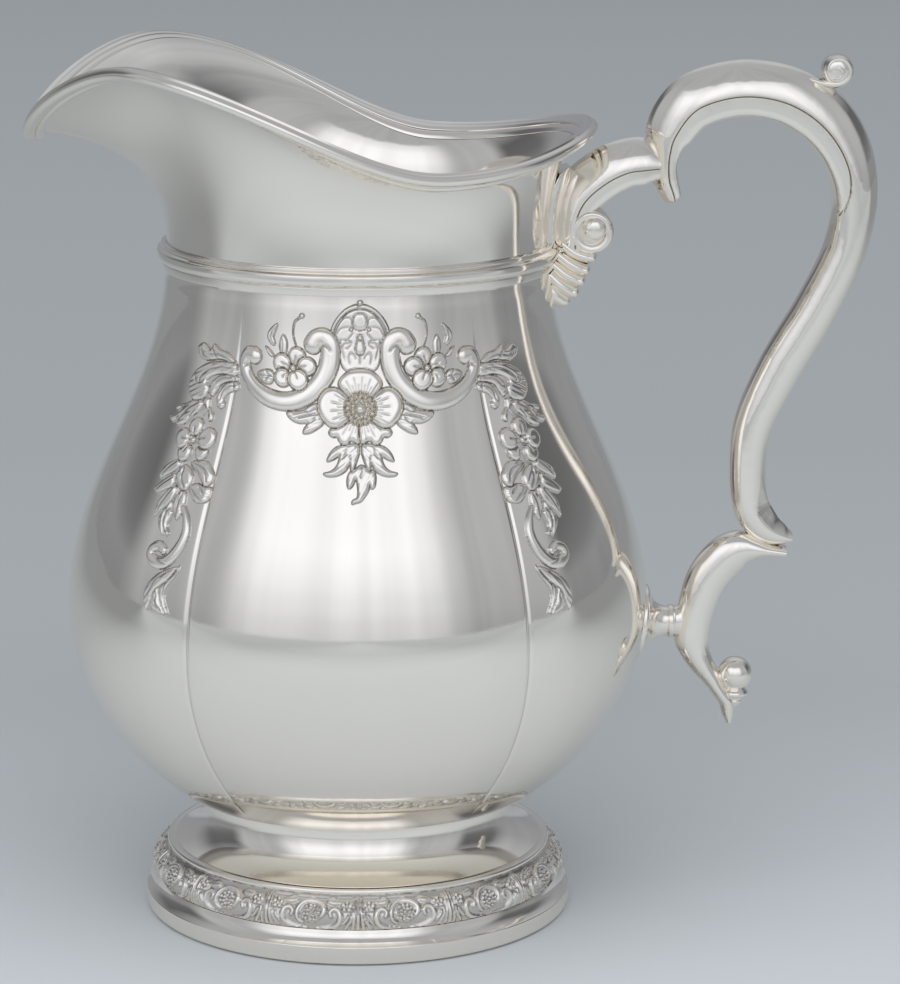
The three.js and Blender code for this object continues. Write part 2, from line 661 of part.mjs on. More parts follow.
// Spool between bowl and scroll, with a flange hollowed to the bowl
function lowerFerrule() {
  const cove = new THREE.QuadraticBezierCurve(
    new THREE.Vector2(FERRULE_FLANGE_RADIUS * 0.92, FERRULE_FLANGE_THICKNESS),
    new THREE.Vector2(FERRULE_STEM_RADIUS, FERRULE_FLANGE_THICKNESS),
    new THREE.Vector2(FERRULE_STEM_RADIUS, FERRULE_FLANGE_THICKNESS + 4),
  );
  const profile = [
    new THREE.Vector2(0, -FERRULE_SINK),
    new THREE.Vector2(FERRULE_FLANGE_RADIUS, -FERRULE_SINK),
    new THREE.Vector2(FERRULE_FLANGE_RADIUS, FERRULE_FLANGE_THICKNESS * 0.6),
    ...cove.getPoints(4),
    new THREE.Vector2(FERRULE_STEM_RADIUS, FERRULE_LENGTH),
    new THREE.Vector2(0, FERRULE_LENGTH),
  ];
  const spool = new THREE.LatheGeometry(profile, 18).rotateZ(-Math.PI / 2);
  spool.translate(lowerMount.x, 0, lowerMount.y);
  return cut(spool, [bowlForm(SOLDER_GAP), lowerScrollForm(SOLDER_GAP)]);
}

// Ornament, drawn flat as u across and v up from a centre, and laid on the bowl's curve

// Lays a flat point on the bowl round an angle and height, lifted off the sheet
function laid(centre, u, v, lift) {
  const z = centre.z + v;
  return onBowl(centre.angle + u / bowlRadiusAt(z), z, SOLDER_GAP + 0.1 + lift);
}

// Raised band along a flat line of [u, v, half width] stations, ridged across
function scrollBand(centre, stations, height) {
  const path = new THREE.CatmullRomCurve3(stations.map(([u, v]) => new THREE.Vector3(u, v, 0)));
  const count = (stations.length - 1) * 2;
  const rings = Array.from({ length: count + 1 }, (_, i) => {
    const place = (i / count) * (stations.length - 1);
    const low = Math.min(Math.floor(place), stations.length - 2);
    const half = THREE.MathUtils.lerp(stations[low][2], stations[low + 1][2], place - low);
    const p = path.getPoint(i / count);
    const t = path.getTangent(i / count);
    const section = [[-1, 0], [0, 1], [1, 0]];
    return section.map(([side, lift]) => {
      return laid(centre, p.x - t.y * half * side, p.y + t.x * half * side, lift * height);
    });
  });
  return loft(rings);
}

// Leaf with a raised midrib, from its stalk towards a heading in the flat
function leaf(centre, u, v, heading, length, halfWidth, height) {
  const along = [Math.cos(heading), Math.sin(heading)];
  const stations = [[0, 0.3], [0.3, 1], [0.65, 0.8], [1, 0.08]];
  return loft(stations.map(([share, spread]) => {
    const x = u + along[0] * length * share;
    const y = v + along[1] * length * share;
    const half = halfWidth * spread;
    return [[-1, 0], [0, 0.35 + 0.65 * spread], [1, 0]].map(([side, lift]) => {
      return laid(centre, x - along[1] * half * side, y + along[0] * half * side, lift * height);
    });
  }));
}

// Open flower: petals as waves of a rim, cupped round a raised middle
function flower(centre, u, v, radius, petals, height) {
  const points = petals * 2;
  const rows = [[0.45, 0], [1, 0], [0.95, 0.6], [0.3, 0.45], [0.2, 1.1]];
  return loft(rows.map(([share, lift]) => Array.from({ length: points }, (_, i) => {
    const a = (2 * Math.PI * i) / points;
    const reach = radius * share * (i % 2 === 0 ? 1 : 0.8);
    return laid(centre, u + reach * Math.sin(a), v + reach * Math.cos(a), lift * height);
  })));
}

// Cartouche on a broad panel: crest, two C-scrolls with small flowers, the large flower and its leaf drop
function cartouche(angle) {
  const centre = { angle, z: neckZ - CARTOUCHE_DROP };
  const pieces = [flower(centre, 0, 0, 10.4, 5, RELIEF)];
  for (const heading of [-155, -122, -90, -58, -25]) {
    const a = THREE.MathUtils.degToRad(heading);
    const length = heading === -90 ? 15 : 11;
    pieces.push(leaf(centre, 8 * Math.cos(a), 8 * Math.sin(a), a, length, 3.2, RELIEF * 0.8));
  }
  for (const heading of [50, 90, 130]) {
    const a = THREE.MathUtils.degToRad(heading);
    const length = heading === 90 ? 17 : 8;
    pieces.push(leaf(centre, 8 * Math.cos(a), 8 * Math.sin(a), a, length, 3.4, RELIEF * 0.8));
  }
  for (const side of [-1, 1]) {
    pieces.push(scrollBand(centre, [
      [side * 11.6, 12.6, 1.1], [side * 9.2, 15.6, 1.4], [side * 6.6, 12.6, 1.9], [side * 8.6, 5.4, 2.4],
      [side * 16, 0.4, 2.8], [side * 24.6, 2.6, 2.4], [side * 28.8, 9, 1.9], [side * 26.4, 12.4, 1.4],
      [side * 24.2, 10, 1.1],
    ], RELIEF));
    pieces.push(flower(centre, side * 17.4, 8, 5.2, 5, RELIEF * 0.9));
    for (const lean of [-0.5, 0.3]) {
      const a = Math.PI / 2 - side * lean;
      const u = side * 17.4 + 4 * Math.cos(a);
      pieces.push(leaf(centre, u, 8 + 4 * Math.sin(a), a, 8, 2.6, RELIEF * 0.7));
    }
  }
  return join(pieces);
}

// Garland that hangs beside a cartouche: arched head, flower, paired leaves and a scrolled tail
function garland(angle, side) {
  const centre = { angle, z: neckZ - CARTOUCHE_DROP };
  const line = [
    [-side * 8, 9, 1.4], [-side * 3, 12.2, 1.8], [side * 1.6, 8, 1.8], [0, -1, 1.5],
    [-side * 1.6, -11, 1.5], [side * 1.6, -19, 1.5], [side * 2.6, -27, 1.5], [side * 1, -35, 1.6],
    [-side * 3.2, -40, 1.8], [-side * 3, -46, 1.3], [-side * 4.6, -53, 0.5],
  ];
  const [flowerU, flowerV] = line[4];
  const pieces = [scrollBand(centre, line, RELIEF), flower(centre, flowerU, flowerV, 5.6, 5, RELIEF)];
  for (const [u, v] of [line[2], line[3], line[5], line[6]]) {
    for (const way of [-1, 1]) {
      const heading = -Math.PI / 2 + way * LEAF_SPREAD;
      pieces.push(leaf(centre, u, v, heading, LEAF_LENGTH, LEAF_HALF_WIDTH, RELIEF * 0.8));
    }
  }
  return join(pieces);
}

// Assembly

const pitcher = new THREE.Group();

function add(name, geometry, finish) {
  const mesh = new THREE.Mesh(geometry, new THREE.MeshStandardMaterial(finish));
  mesh.name = name;
  pitcher.add(mesh);
}

add('base_ring', baseRing(), polished);
add('foot_border', footBorder(), chased);
add('foot_pedestal', footPedestal(), polished);
add('bowl', bowl(), polished);
add('neck', neck(), polished);
add('neck_band', neckBand(), polished);
add('rim_wire', rimWire(), polished);
add('upper_bracket', upperBracket(), polished);
add('shell_leaf', shellLeaf(), chased);
add('thumb_scroll', thumbScroll(), polished);
add('lower_ferrule', lowerFerrule(), polished);
add('lower_scroll', lowerScroll(), polished);
add('scroll_ball', ball(BALL_RADIUS), polished);
for (const [face, side, angle] of [['front', -1, 0], ['back', 1, Math.PI]]) {
  add(`grip_${face}_half`, gripHalf(side), polished);
  add(`${face}_volute_boss`, voluteBoss(side), polished);
  add(`${face}_cartouche`, cartouche(angle), chased);
  add(`${face}_spout_garland`, garland(angle + side * GARLAND_ANGLE, side), chased);
  add(`${face}_handle_garland`, garland(angle - side * GARLAND_ANGLE, -side), chased);
}

const extent = new THREE.Box3().setFromObject(pitcher);
pitcher.position.x = -(extent.min.x + extent.max.x) / 2;

export default pitcher;
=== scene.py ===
import math

import bmesh
import bpy
import numpy as np
from mathutils import Matrix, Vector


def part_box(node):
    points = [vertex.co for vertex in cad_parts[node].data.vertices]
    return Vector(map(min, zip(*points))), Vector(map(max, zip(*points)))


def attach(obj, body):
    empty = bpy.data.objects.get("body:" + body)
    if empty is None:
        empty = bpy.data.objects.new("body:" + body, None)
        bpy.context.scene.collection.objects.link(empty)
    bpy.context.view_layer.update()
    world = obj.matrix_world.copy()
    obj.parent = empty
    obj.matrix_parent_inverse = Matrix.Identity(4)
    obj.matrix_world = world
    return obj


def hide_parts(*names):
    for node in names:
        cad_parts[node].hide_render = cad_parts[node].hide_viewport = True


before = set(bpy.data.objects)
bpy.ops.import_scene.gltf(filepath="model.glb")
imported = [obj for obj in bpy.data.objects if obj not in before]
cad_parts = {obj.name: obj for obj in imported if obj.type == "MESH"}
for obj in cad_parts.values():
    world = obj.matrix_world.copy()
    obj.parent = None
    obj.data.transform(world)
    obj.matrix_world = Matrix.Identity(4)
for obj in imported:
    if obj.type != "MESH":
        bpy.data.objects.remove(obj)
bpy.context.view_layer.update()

# Lengths are in millimetres round the bowl's axis: x towards the handle, -y towards the front, z up.
MM = 0.001
AXIS_X = (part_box("base_ring")[0][0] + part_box("base_ring")[1][0]) / 2 / MM

# Small tools


def ease(t):
    return (1 - np.cos(np.pi * np.clip(t, 0, 1))) / 2


def lerp(a, b, t):
    return a + (b - a) * t


def unit(vectors):
    return vectors / np.linalg.norm(vectors, axis=-1, keepdims=True)


def full_turn(steps):
    return np.linspace(0, 2 * np.pi, steps, endpoint=False)


def around(angle, radius, z):
    """Point at a turn from the front, positive towards the handle."""
    angle, radius, z = np.broadcast_arrays(angle, radius, z)
    return np.stack([radius * np.sin(angle), -radius * np.cos(angle), z], axis=-1)


def spline(stations, steps):
    """Centripetal Catmull-Rom curve through rows of values; the first two columns set the pace."""
    rows = np.array(stations, float)
    rows = np.vstack([2 * rows[0] - rows[1], rows, 2 * rows[-1] - rows[-2]])
    pace = np.sum(np.diff(rows[:, :2], axis=0) ** 2, axis=1) ** 0.25
    out = []
    for i in range(1, len(rows) - 2):
        p0, p1, p2, p3 = rows[i - 1:i + 3]
        d0, d1, d2 = np.maximum(pace[i - 1:i + 2], 1e-4)
        m1 = ((p1 - p0) / d0 - (p2 - p0) / (d0 + d1) + (p2 - p1) / d1) * d1
        m2 = ((p2 - p1) / d1 - (p3 - p1) / (d1 + d2) + (p3 - p2) / d2) * d1
        t = np.linspace(0, 1, steps, endpoint=False)[:, None]
        out.append(p1 + m1 * t + (3 * (p2 - p1) - 2 * m1 - m2) * t ** 2
                   + (2 * (p1 - p2) + m1 + m2) * t ** 3)
    return np.vstack(out + [rows[-2:-1]])


def bezier(points, steps):
    """Quadratic or cubic Bezier curve."""
    t = np.linspace(0, 1, steps + 1)[:, None]
    points = [np.array(p, float) for p in points]
    while len(points) > 1:
        points = [lerp(a, b, t) for a, b in zip(points, points[1:])]
    return points[0]


def rounded(corners, steps=5):
    """Profile through (x, z, radius) corners, each rounded off by its radius."""
    corners = [np.array(c, float) for c in corners]
    out = []
    for before, corner, after in zip(corners[-1:] + corners, corners, corners[1:] + corners[:1]):
        place, radius = corner[:2], corner[2]
        if radius == 0:
            out.append(place[None])
            continue
        back, on = before[:2] - place, after[:2] - place
        reach = min(radius, 0.49 * np.hypot(*back), 0.49 * np.hypot(*on))
        start = place + back / np.hypot(*back) * reach
        end = place + on / np.hypot(*on) * reach
        out.append(bezier([start, place, end], steps))
    return np.vstack(out)


class Form:
    """Points in millimetres and the faces between them."""

    def __init__(self):
        self.points = []
        self.faces = []

    def add(self, points):
        flat = np.asarray(points, float).reshape(-1, 3)
        start = sum(len(p) for p in self.points)
        self.points.append(flat)
        return np.arange(start, start + len(flat)).reshape(np.shape(points)[:-1])

    def quads(self, ids, wrap_rows=False, wrap_columns=False):
        """Quads over a grid of point numbers, joined round at the ends where asked."""
        if wrap_rows:
            ids = np.vstack([ids, ids[:1]])
        if wrap_columns:
            ids = np.hstack([ids, ids[:, :1]])
        cells = np.stack([ids[:-1, :-1], ids[:-1, 1:], ids[1:, 1:], ids[1:, :-1]], axis=-1)
        self.faces += cells.reshape(-1, 4).tolist()

    def fan(self, ring, centre, flip):
        """Triangles from a closed ring of point numbers to one more point."""
        tip = int(self.add(np.asarray(centre, float)[None])[0])
        ring = list(ring) if flip else list(ring)[::-1]
        for a, b in zip(ring, ring[1:] + ring[:1]):
            self.faces.append([int(a), int(b), tip])


def lofted(*grids):
    """Closed skins over grids of rings, each with its end rings filled."""
    form = Form()
    for grid in grids:
        ids = form.add(grid)
        form.quads(ids, wrap_columns=True)
        form.fan(ids[0], np.mean(grid[0], axis=0), flip=False)
        form.fan(ids[-1], np.mean(grid[-1], axis=0), flip=True)
    return form


def looped(grid):
    """Closed skin over a grid of rings whose last ring meets the first."""
    form = Form()
    form.quads(form.add(grid), wrap_rows=True, wrap_columns=True)
    return form


def build(name, form, material, node, sharp=35, recess=None):
    """Makes one piece from a form, closed and facing outwards, in the place of a CAD node."""
    mesh = bpy.data.meshes.new(name)
    points = (np.vstack(form.points) + [AXIS_X, 0, 0]) * MM
    mesh.from_pydata(points.tolist(), [], form.faces)
    skin = bmesh.new()
    skin.from_mesh(mesh)
    if skin.calc_volume(signed=True) < 0:
        bmesh.ops.reverse_faces(skin, faces=skin.faces)
        skin.to_mesh(mesh)
    skin.free()
    mesh.shade_smooth()
    mesh.set_sharp_from_angle(angle=math.radians(sharp))
    # The recess attribute carries the painted shade and tarnish of chased work to its material
    if recess is not None:
        attribute = mesh.attributes.new("recess", "FLOAT", "POINT")
        attribute.data.foreach_set("value", recess.astype(np.float32))
    mesh.materials.append(material)
    piece = bpy.data.objects.new(name, mesh)
    bpy.context.collection.objects.link(piece)
    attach(piece, "root")
    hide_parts(node)


def revolved(profile, turns=180):
    """Ring turned from a closed profile of (radius, z)."""
    return looped(around(full_turn(turns)[None], profile[:, :1], profile[:, 1:]))


# Materials

SILVER = (0.972, 0.922, 0.842, 1)
CLOUDED = tuple(0.965 * c for c in SILVER[:3]) + (1,)
# Dark colour of the painted shade and tarnish laid into hollows, creases and chased lines
SHADE_AND_TARNISH = (0.115, 0.11, 0.1, 1)
# Share of painted shade and tarnish in the mouldings' hollow lines, and the mesh pointiness where it starts
# and is full
HOLLOW_SHADE_AND_TARNISH = 0.45
HOLLOW_SPAN = (0.49, 0.455)
# Scale of the noise for clouding and hairlines, how far clouding dulls the polish, and how high the bumps are
CLOUD_SCALE = 28
CLOUD_SPAN = (0.35, 0.75)
CLOUD_DULLING = 1.9
WAVE_HEIGHT = 0.002
HAIR_SCALE = 2600
HAIR_STRENGTH = 0.02
HAIR_HEIGHT = 0.0002


def add_node(tree, kind, values, out=0, **settings):
    """Adds a shader node and gives one of its outputs. The values are numbers, colours or other outputs, by
    the name or number of the input."""
    node = tree.nodes.new("ShaderNode" + kind)
    for name, setting in settings.items():
        setattr(node, name, setting)
    for name, value in values.items():
        if isinstance(value, bpy.types.NodeSocket):
            tree.links.new(value, node.inputs[name])
        else:
            node.inputs[name].default_value = value
    return node.outputs[out]


def calculate(tree, operation, *values):
    return add_node(tree, "Math", dict(enumerate(values)), operation=operation)


def stretch(tree, value, span, least=0.0, most=1.0, kind="LINEAR"):
    """Share from least to most over a span of a value."""
    values = {"Value": value, "From Min": span[0], "From Max": span[1], "To Min": least, "To Max": most}
    return add_node(tree, "MapRange", values, interpolation_type=kind)


def mix(tree, factor, a, b):
    return add_node(tree, "Mix", {"Factor": factor, "A": a, "B": b}, "Result", data_type="RGBA")


def ramp(tree, value, stops):
    """Colour ramp over (place from 0 to 1, colour) stops."""
    node = tree.nodes.new("ShaderNodeValToRGB")
    tree.links.new(value, node.inputs["Fac"])
    elements = node.color_ramp.elements
    while len(elements) < len(stops):
        elements.new(0.5)
    for element, (place, colour) in zip(elements, stops):
        element.position = place
        element.color = colour
    return node.outputs["Color"]


def silver(name, roughness, ripple, wave_scale=60, chased=False):
    """Polished silver: faint clouding, hairlines, hand-finished ripple, and painted shade and tarnish in its
    hollows.
    """
    material = bpy.data.materials.new(name)
    material.use_nodes = True
    tree = material.node_tree
    place = add_node(tree, "TexCoord", {}, "Object")

    def noise(scale, detail):
        return add_node(tree, "TexNoise", {"Scale": scale, "Detail": detail, "Vector": place})

    clouds = noise(CLOUD_SCALE, 5)
    # Where the hollows get painted shade and tarnish: from the relief's marks on chased work, from mesh
    # pointiness elsewhere
    if chased:
        hollow_shade = add_node(tree, "Attribute", {}, "Fac", attribute_name="recess")
    else:
        pointiness = add_node(tree, "NewGeometry", {}, "Pointiness")
        hollow_shade = stretch(tree, pointiness, HOLLOW_SPAN, most=HOLLOW_SHADE_AND_TARNISH)
    wave = add_node(tree, "Bump", {"Strength": ripple, "Distance": WAVE_HEIGHT,
                                   "Height": noise(wave_scale, 2)})
    hair = add_node(tree, "Bump", {"Strength": HAIR_STRENGTH, "Distance": HAIR_HEIGHT,
                                   "Height": noise(HAIR_SCALE, 2), "Normal": wave})
    tone = ramp(tree, clouds, [(0, SILVER), (1, CLOUDED)])
    sheen = stretch(tree, clouds, CLOUD_SPAN, roughness, CLOUD_DULLING * roughness)
    sockets = tree.nodes["Principled BSDF"].inputs
    sockets["Metallic"].default_value = 1
    # Painted shade and tarnish darken the base colour in the hollows
    tree.links.new(mix(tree, hollow_shade, tone, SHADE_AND_TARNISH), sockets["Base Color"])
    tree.links.new(sheen, sockets["Roughness"])
    tree.links.new(hair, sockets["Normal"])
    return material


POLISHED = silver("polished_silver", roughness=0.045, ripple=0.02)
CAST = silver("cast_silver", roughness=0.05, ripple=0.07, wave_scale=130)
CHASED = silver("chased_silver", roughness=0.085, ripple=0.05, chased=True)

# Bowl

FOOT_HEIGHT = 31.9
JOINT_RADIUS = 44.2
JOINT_OVERHANG = 4.7
BOWL_RADIUS = 76.8
BOWL_FULLNESS = 1.64
WIDEST_Z = 84
NECK_Z = 176.5
NECK_RADIUS = 50
COLLAR = 4.5
WALL = 1
# Creases: how far each reaches to its sides, its depth, the line scribed in it and its fading out at the ends
GROOVES = np.radians([-145.5, -34.5, 34.5, 145.5])
GROOVE_REACH = math.radians(12)
GROOVE_DEPTH = 0.85
GROOVE_POWER = 1.45
SCRIBE_REACH = math.radians(0.42)
SCRIBE_DEPTH = 0.34
GROOVE_FADE = 34
# Turns in degrees between the bowl's points, and the finer ones about the creases
COARSE_TURN = 1.5
CREASE_ZONE = 3
CREASE_STEPS = 31
CREASE_CLEAR = 3.4
BOTTOM_RADIUS = 40
BOTTOM_MIDDLE = 20
BOTTOM_RISE = 4
SHOULDER_Z = NECK_Z - COLLAR
SHOULDER_SWELL = 1.1
SHOULDER_SHARE = 0.82
SHOULDER_SKEW = 0.54
# Short steps over which slopes are measured
PROBE = 0.02
PROBE_TURN = PROBE / 60
NECK_PROBE = 0.001


def bowl_radius(z):
    u = np.clip((WIDEST_Z - z) / (WIDEST_Z - FOOT_HEIGHT), 0, 1)
    below = JOINT_RADIUS + (BOWL_RADIUS - JOINT_RADIUS) * np.sqrt(1 - u ** 2) ** BOWL_FULLNESS
    up = (z - WIDEST_Z) / (SHOULDER_Z - WIDEST_Z)
    swell = np.sin(np.pi * np.clip((1 - up) / SHOULDER_SHARE, 0, 1) ** SHOULDER_SKEW)
    above = lerp(BOWL_RADIUS, NECK_RADIUS, ease(up)) + SHOULDER_SWELL * swell
    return np.where(z < WIDEST_Z, below, above)


def groove(angle, z):
    """Depth of the creases that part the broad panels from the end panels."""
    turn = np.asarray(angle)[..., None] - GROOVES
    away = np.abs((turn + np.pi) % (2 * np.pi) - np.pi).min(axis=-1)
    near = np.clip(1 - away / GROOVE_REACH, 0, 1)
    fade = ease((SHOULDER_Z - z) / GROOVE_FADE) * ease(2 * (z - FOOT_HEIGHT) / GROOVE_FADE)
    scribe = np.exp(-(away / SCRIBE_REACH) ** 2)
    return (GROOVE_DEPTH * near ** GROOVE_POWER + SCRIBE_DEPTH * scribe) * fade


def bowl_point(angle, z, lift=0.0):
    """Point of the bowl's outside, lifted off it square to the sheet."""
    def at(a, h):
        return around(a, bowl_radius(h) - groove(a, h), h)
    across = at(angle + PROBE_TURN, z) - at(angle - PROBE_TURN, z)
    up = at(angle, z + PROBE) - at(angle, z - PROBE)
    normal = unit(np.cross(across, up))
    return at(angle, z) + normal * np.asarray(lift)[..., None]


def bowl_angles():
    """Turns round the bowl, close together at the creases."""
    coarse = np.radians(np.arange(-180, 180, COARSE_TURN))
    keep = coarse[np.abs(coarse[:, None] - GROOVES).min(axis=1) > math.radians(CREASE_CLEAR)]
    zone = np.radians(np.linspace(-CREASE_ZONE, CREASE_ZONE, CREASE_STEPS))
    return np.sort(np.concatenate([keep] + [g + zone for g in GROOVES]))


def bowl():
    angle = bowl_angles()
    lower = WIDEST_Z - (WIDEST_Z - FOOT_HEIGHT) * np.cos(np.linspace(0, np.pi / 2, 36))
    upper = np.linspace(WIDEST_Z, NECK_Z, 62)[1:]
    z = np.concatenate([lower, upper])[:, None]
    outside = around(angle[None], bowl_radius(z) - groove(angle[None] + 0 * z, z), z)
    inner_z = np.linspace(NECK_Z, FOOT_HEIGHT + BOTTOM_RISE, 44)[:, None]
    inner_r = bowl_radius(inner_z) - WALL - groove(angle[None] + 0 * inner_z, inner_z)
    inside = around(angle[None], inner_r, inner_z)
    floor = around(angle[None], np.array([[BOTTOM_RADIUS], [BOTTOM_MIDDLE]]), FOOT_HEIGHT + WALL)
    under = around(angle[None], np.array([[BOTTOM_MIDDLE], [JOINT_RADIUS - 0.5]]), FOOT_HEIGHT)
    form = Form()
    ids = form.add(np.concatenate([under, outside, inside, floor]))
    form.quads(ids, wrap_columns=True)
    form.fan(ids[0], [0, 0, FOOT_HEIGHT], flip=False)
    form.fan(ids[-1], [0, 0, FOOT_HEIGHT + WALL], flip=True)
    return form


build("bowl_shell", bowl(), POLISHED, "bowl", sharp=14)

# Neck and rim

COLLAR_TOP = NECK_Z + 3.5
COLLAR_MIDDLE = NECK_Z + 1.8
# The rim's edge by turn from the spout: its distance from the axis and its rise over the neck's joint
SPOUT_END = math.radians(41)
WING_END = math.radians(112)
SPOUT_REACH, SPOUT_RISE = 86, 31.5
WING_REACH, WING_RISE = 75.5, 52
DIP_REACH, DIP_RISE = 59.5, 27
BACK_REACH, BACK_RISE = 61, 34.5
SPOUT_TROUGH = 1.2
NECK_FLARE = 0.78
SPOUT_FLARE = 0.93


def rim_edge(angle):
    """Radius and height of the neck's top edge; the spout is at -90 degrees."""
    turn = np.abs((angle + np.pi / 2 + np.pi) % (2 * np.pi) - np.pi)
    spout = turn / SPOUT_END
    wing = (turn - SPOUT_END) / (WING_END - SPOUT_END)
    back = (turn - WING_END) / (np.pi - WING_END)
    crest = np.sin(np.clip(spout, 0, 1) * np.pi / 2) ** SPOUT_TROUGH
    where = [turn < SPOUT_END, turn < WING_END]
    radius = np.select(
        where, [lerp(SPOUT_REACH, WING_REACH, ease(spout)), lerp(WING_REACH, DIP_REACH, ease(wing))],
        lerp(DIP_REACH, BACK_REACH, ease(back)))
    rise = np.select(
        where, [lerp(SPOUT_RISE, WING_RISE, crest), lerp(WING_RISE, DIP_RISE, ease(wing))],
        lerp(DIP_RISE, BACK_RISE, ease(back)))
    return radius, NECK_Z + rise


def neck_line(angle, t):
    """Radius and height on the neck's outside, from the collar (t = 0) to the edge (t = 1)."""
    radius, top = rim_edge(angle)
    spout_share = (1 - np.sin(angle)) / 2
    flare = lerp(NECK_FLARE, SPOUT_FLARE, ease(2 * spout_share - 1))
    pull = lerp(COLLAR_TOP, top, flare)
    r = (1 - t) ** 2 * NECK_RADIUS + 2 * t * (1 - t) * NECK_RADIUS + t ** 2 * radius
    z = (1 - t) ** 2 * COLLAR_TOP + 2 * t * (1 - t) * pull + t ** 2 * top
    return r, z


def neck_point(angle, t, lift=0.0):
    """Point of the neck, lifted outwards square to the sheet."""
    def at(a, s):
        return around(a, *neck_line(a, s))
    across = at(angle + NECK_PROBE, t) - at(angle - NECK_PROBE, t)
    up = at(angle, t + NECK_PROBE) - at(angle, t - NECK_PROBE)
    normal = unit(np.cross(across, up))
    return at(angle, t) + normal * lift


NECK_ANGLES = np.linspace(-np.pi, np.pi, 300, endpoint=False)


def neck():
    angle = NECK_ANGLES[None]
    t = np.linspace(0, 1, 44)[:, None]
    collar_z = np.array([[NECK_Z], [COLLAR_MIDDLE]])
    outside = [around(angle, NECK_RADIUS, collar_z), neck_point(angle, t)]
    inside = [neck_point(angle, t[::-2], -WALL), around(angle, NECK_RADIUS - WALL, collar_z[::-1])]
    return looped(np.concatenate(outside + inside))


# Section of the rim: distance below the edge, and off the neck's outside
RIM_SECTION = [
    (6.4, -0.6, 0), (6.2, -1.1, 0.2), (5.2, -1.45, 0.9), (4.1, -1.35, 0.5), (3.8, -1.0, 0.1),
    (3.5, -1.35, 0.3), (2.4, -1.5, 1.0), (0.9, -1.0, 1.1), (-0.4, -0.3, 1.0), (-0.9, 1.2, 1.0),
    (0.2, 2.3, 1.1), (2.4, 2.2, 0.6), (2.75, 1.2, 0.1), (3.0, 1.8, 0.3), (4.0, 2.1, 0.7), (5.0, 1.6, 0.5),
    (5.4, 0.5, 0.2), (5.4, -0.4, 0),
]


def rim():
    """The moulding's section carried round the edge, bent with the neck's own curve."""
    section = rounded(RIM_SECTION, steps=5)
    angle = np.linspace(-np.pi, np.pi, 420, endpoint=False)[None]
    down, off = section[:, :1], section[:, 1:]
    step = 0.01

    def at(t):
        return np.stack(np.broadcast_arrays(*neck_line(angle, t)))
    pace = np.hypot(*(at(1.0) - at(1.0 - step))) / step
    t = 1 - down / pace
    along = at(t + step) - at(t - step)
    along /= np.hypot(*along)
    r, z = at(t)
    return looped(around(angle, r + off * along[1], z - off * along[0]))


build("neck_shell", neck(), POLISHED, "neck", sharp=40)
build("rim_moulding", rim(), POLISHED, "rim_wire", sharp=50)

NECK_BAND = [
    (50.05, 173.0, 0), (51.1, 173.0, 0.3), (51.3, 174.9, 0.4), (51.1, 175.1, 0.1), (51.7, 175.3, 0.3),
    (52.5, 176.3, 0.9), (52.4, 178.2, 0.9), (51.4, 178.7, 0.3), (51.2, 178.9, 0.1), (51.4, 179.1, 0.2),
    (51.3, 179.9, 0.3), (50.05, 180, 0),
]
build("neck_band_moulding", revolved(rounded(NECK_BAND)), POLISHED, "neck_band")

# Foot

BASE_HEIGHT = 8.9
BASE_RING = [
    (49.4, 0, 0), (55.2, 0, 0.6), (56.6, 0.6, 0.7), (57, 1.6, 0.7), (57, 5.1, 0.25), (56.6, 5.35, 0.3),
    (55.5, 6.2, 0.8), (54.6, 7.4, 0.8), (54.1, BASE_HEIGHT, 0.2), (49.4, BASE_HEIGHT, 0),
]
build("base_ring_turned", revolved(rounded(BASE_RING), 240), POLISHED, "base_ring")

FLARE_TOP = JOINT_RADIUS - JOINT_OVERHANG
FLARE_FOOT = 49.1
FLARE_DROP = 0.6 * WALL
FLARE_UPPER = [(FLARE_TOP, FOOT_HEIGHT), (FLARE_TOP, 28.2), (39.9, 26.6), (41.2, 24.5)]
FLARE_LOWER = [(41.2, 24.5), (42.3, 22.7), (44.6, 20.6), (FLARE_FOOT, 18.8)]


def pedestal():
    flare = np.vstack([bezier(FLARE_UPPER, 24), bezier(FLARE_LOWER, 24)[1:]])
    outer = np.vstack([flare, [(FLARE_FOOT, BASE_HEIGHT / 2)]])
    inner = np.vstack([flare - [WALL, FLARE_DROP], [(FLARE_FOOT - WALL, BASE_HEIGHT / 2)]])
    inner[0, 1] = FOOT_HEIGHT
    return revolved(np.vstack([outer, inner[::-1]]))


build("pedestal_flare", pedestal(), POLISHED, "foot_pedestal")

# Handle

# Where the handle meets the pitcher: distance from the axis and height
LOWER_Z = 77.0
UPPER = np.array([50.0, 183.0])
LOWER = np.array([bowl_radius(LOWER_Z), LOWER_Z])
GRIP_WIDTH = 13.4

# Sunk side panel with a line round it, and the squareness of bars that have a flat inner side
PANEL_SINK = 0.35
PANEL_LINE = 0.4
LINE_DROP = 0.25
LINE_HALF = 0.14
PANEL_LEAST = 0.7
SQUARE_POWER = 3.2
SQUARE_FROM = 0.07
DOME_POWER = 1.3
EVEN = 0.5
FLAT = 0.42


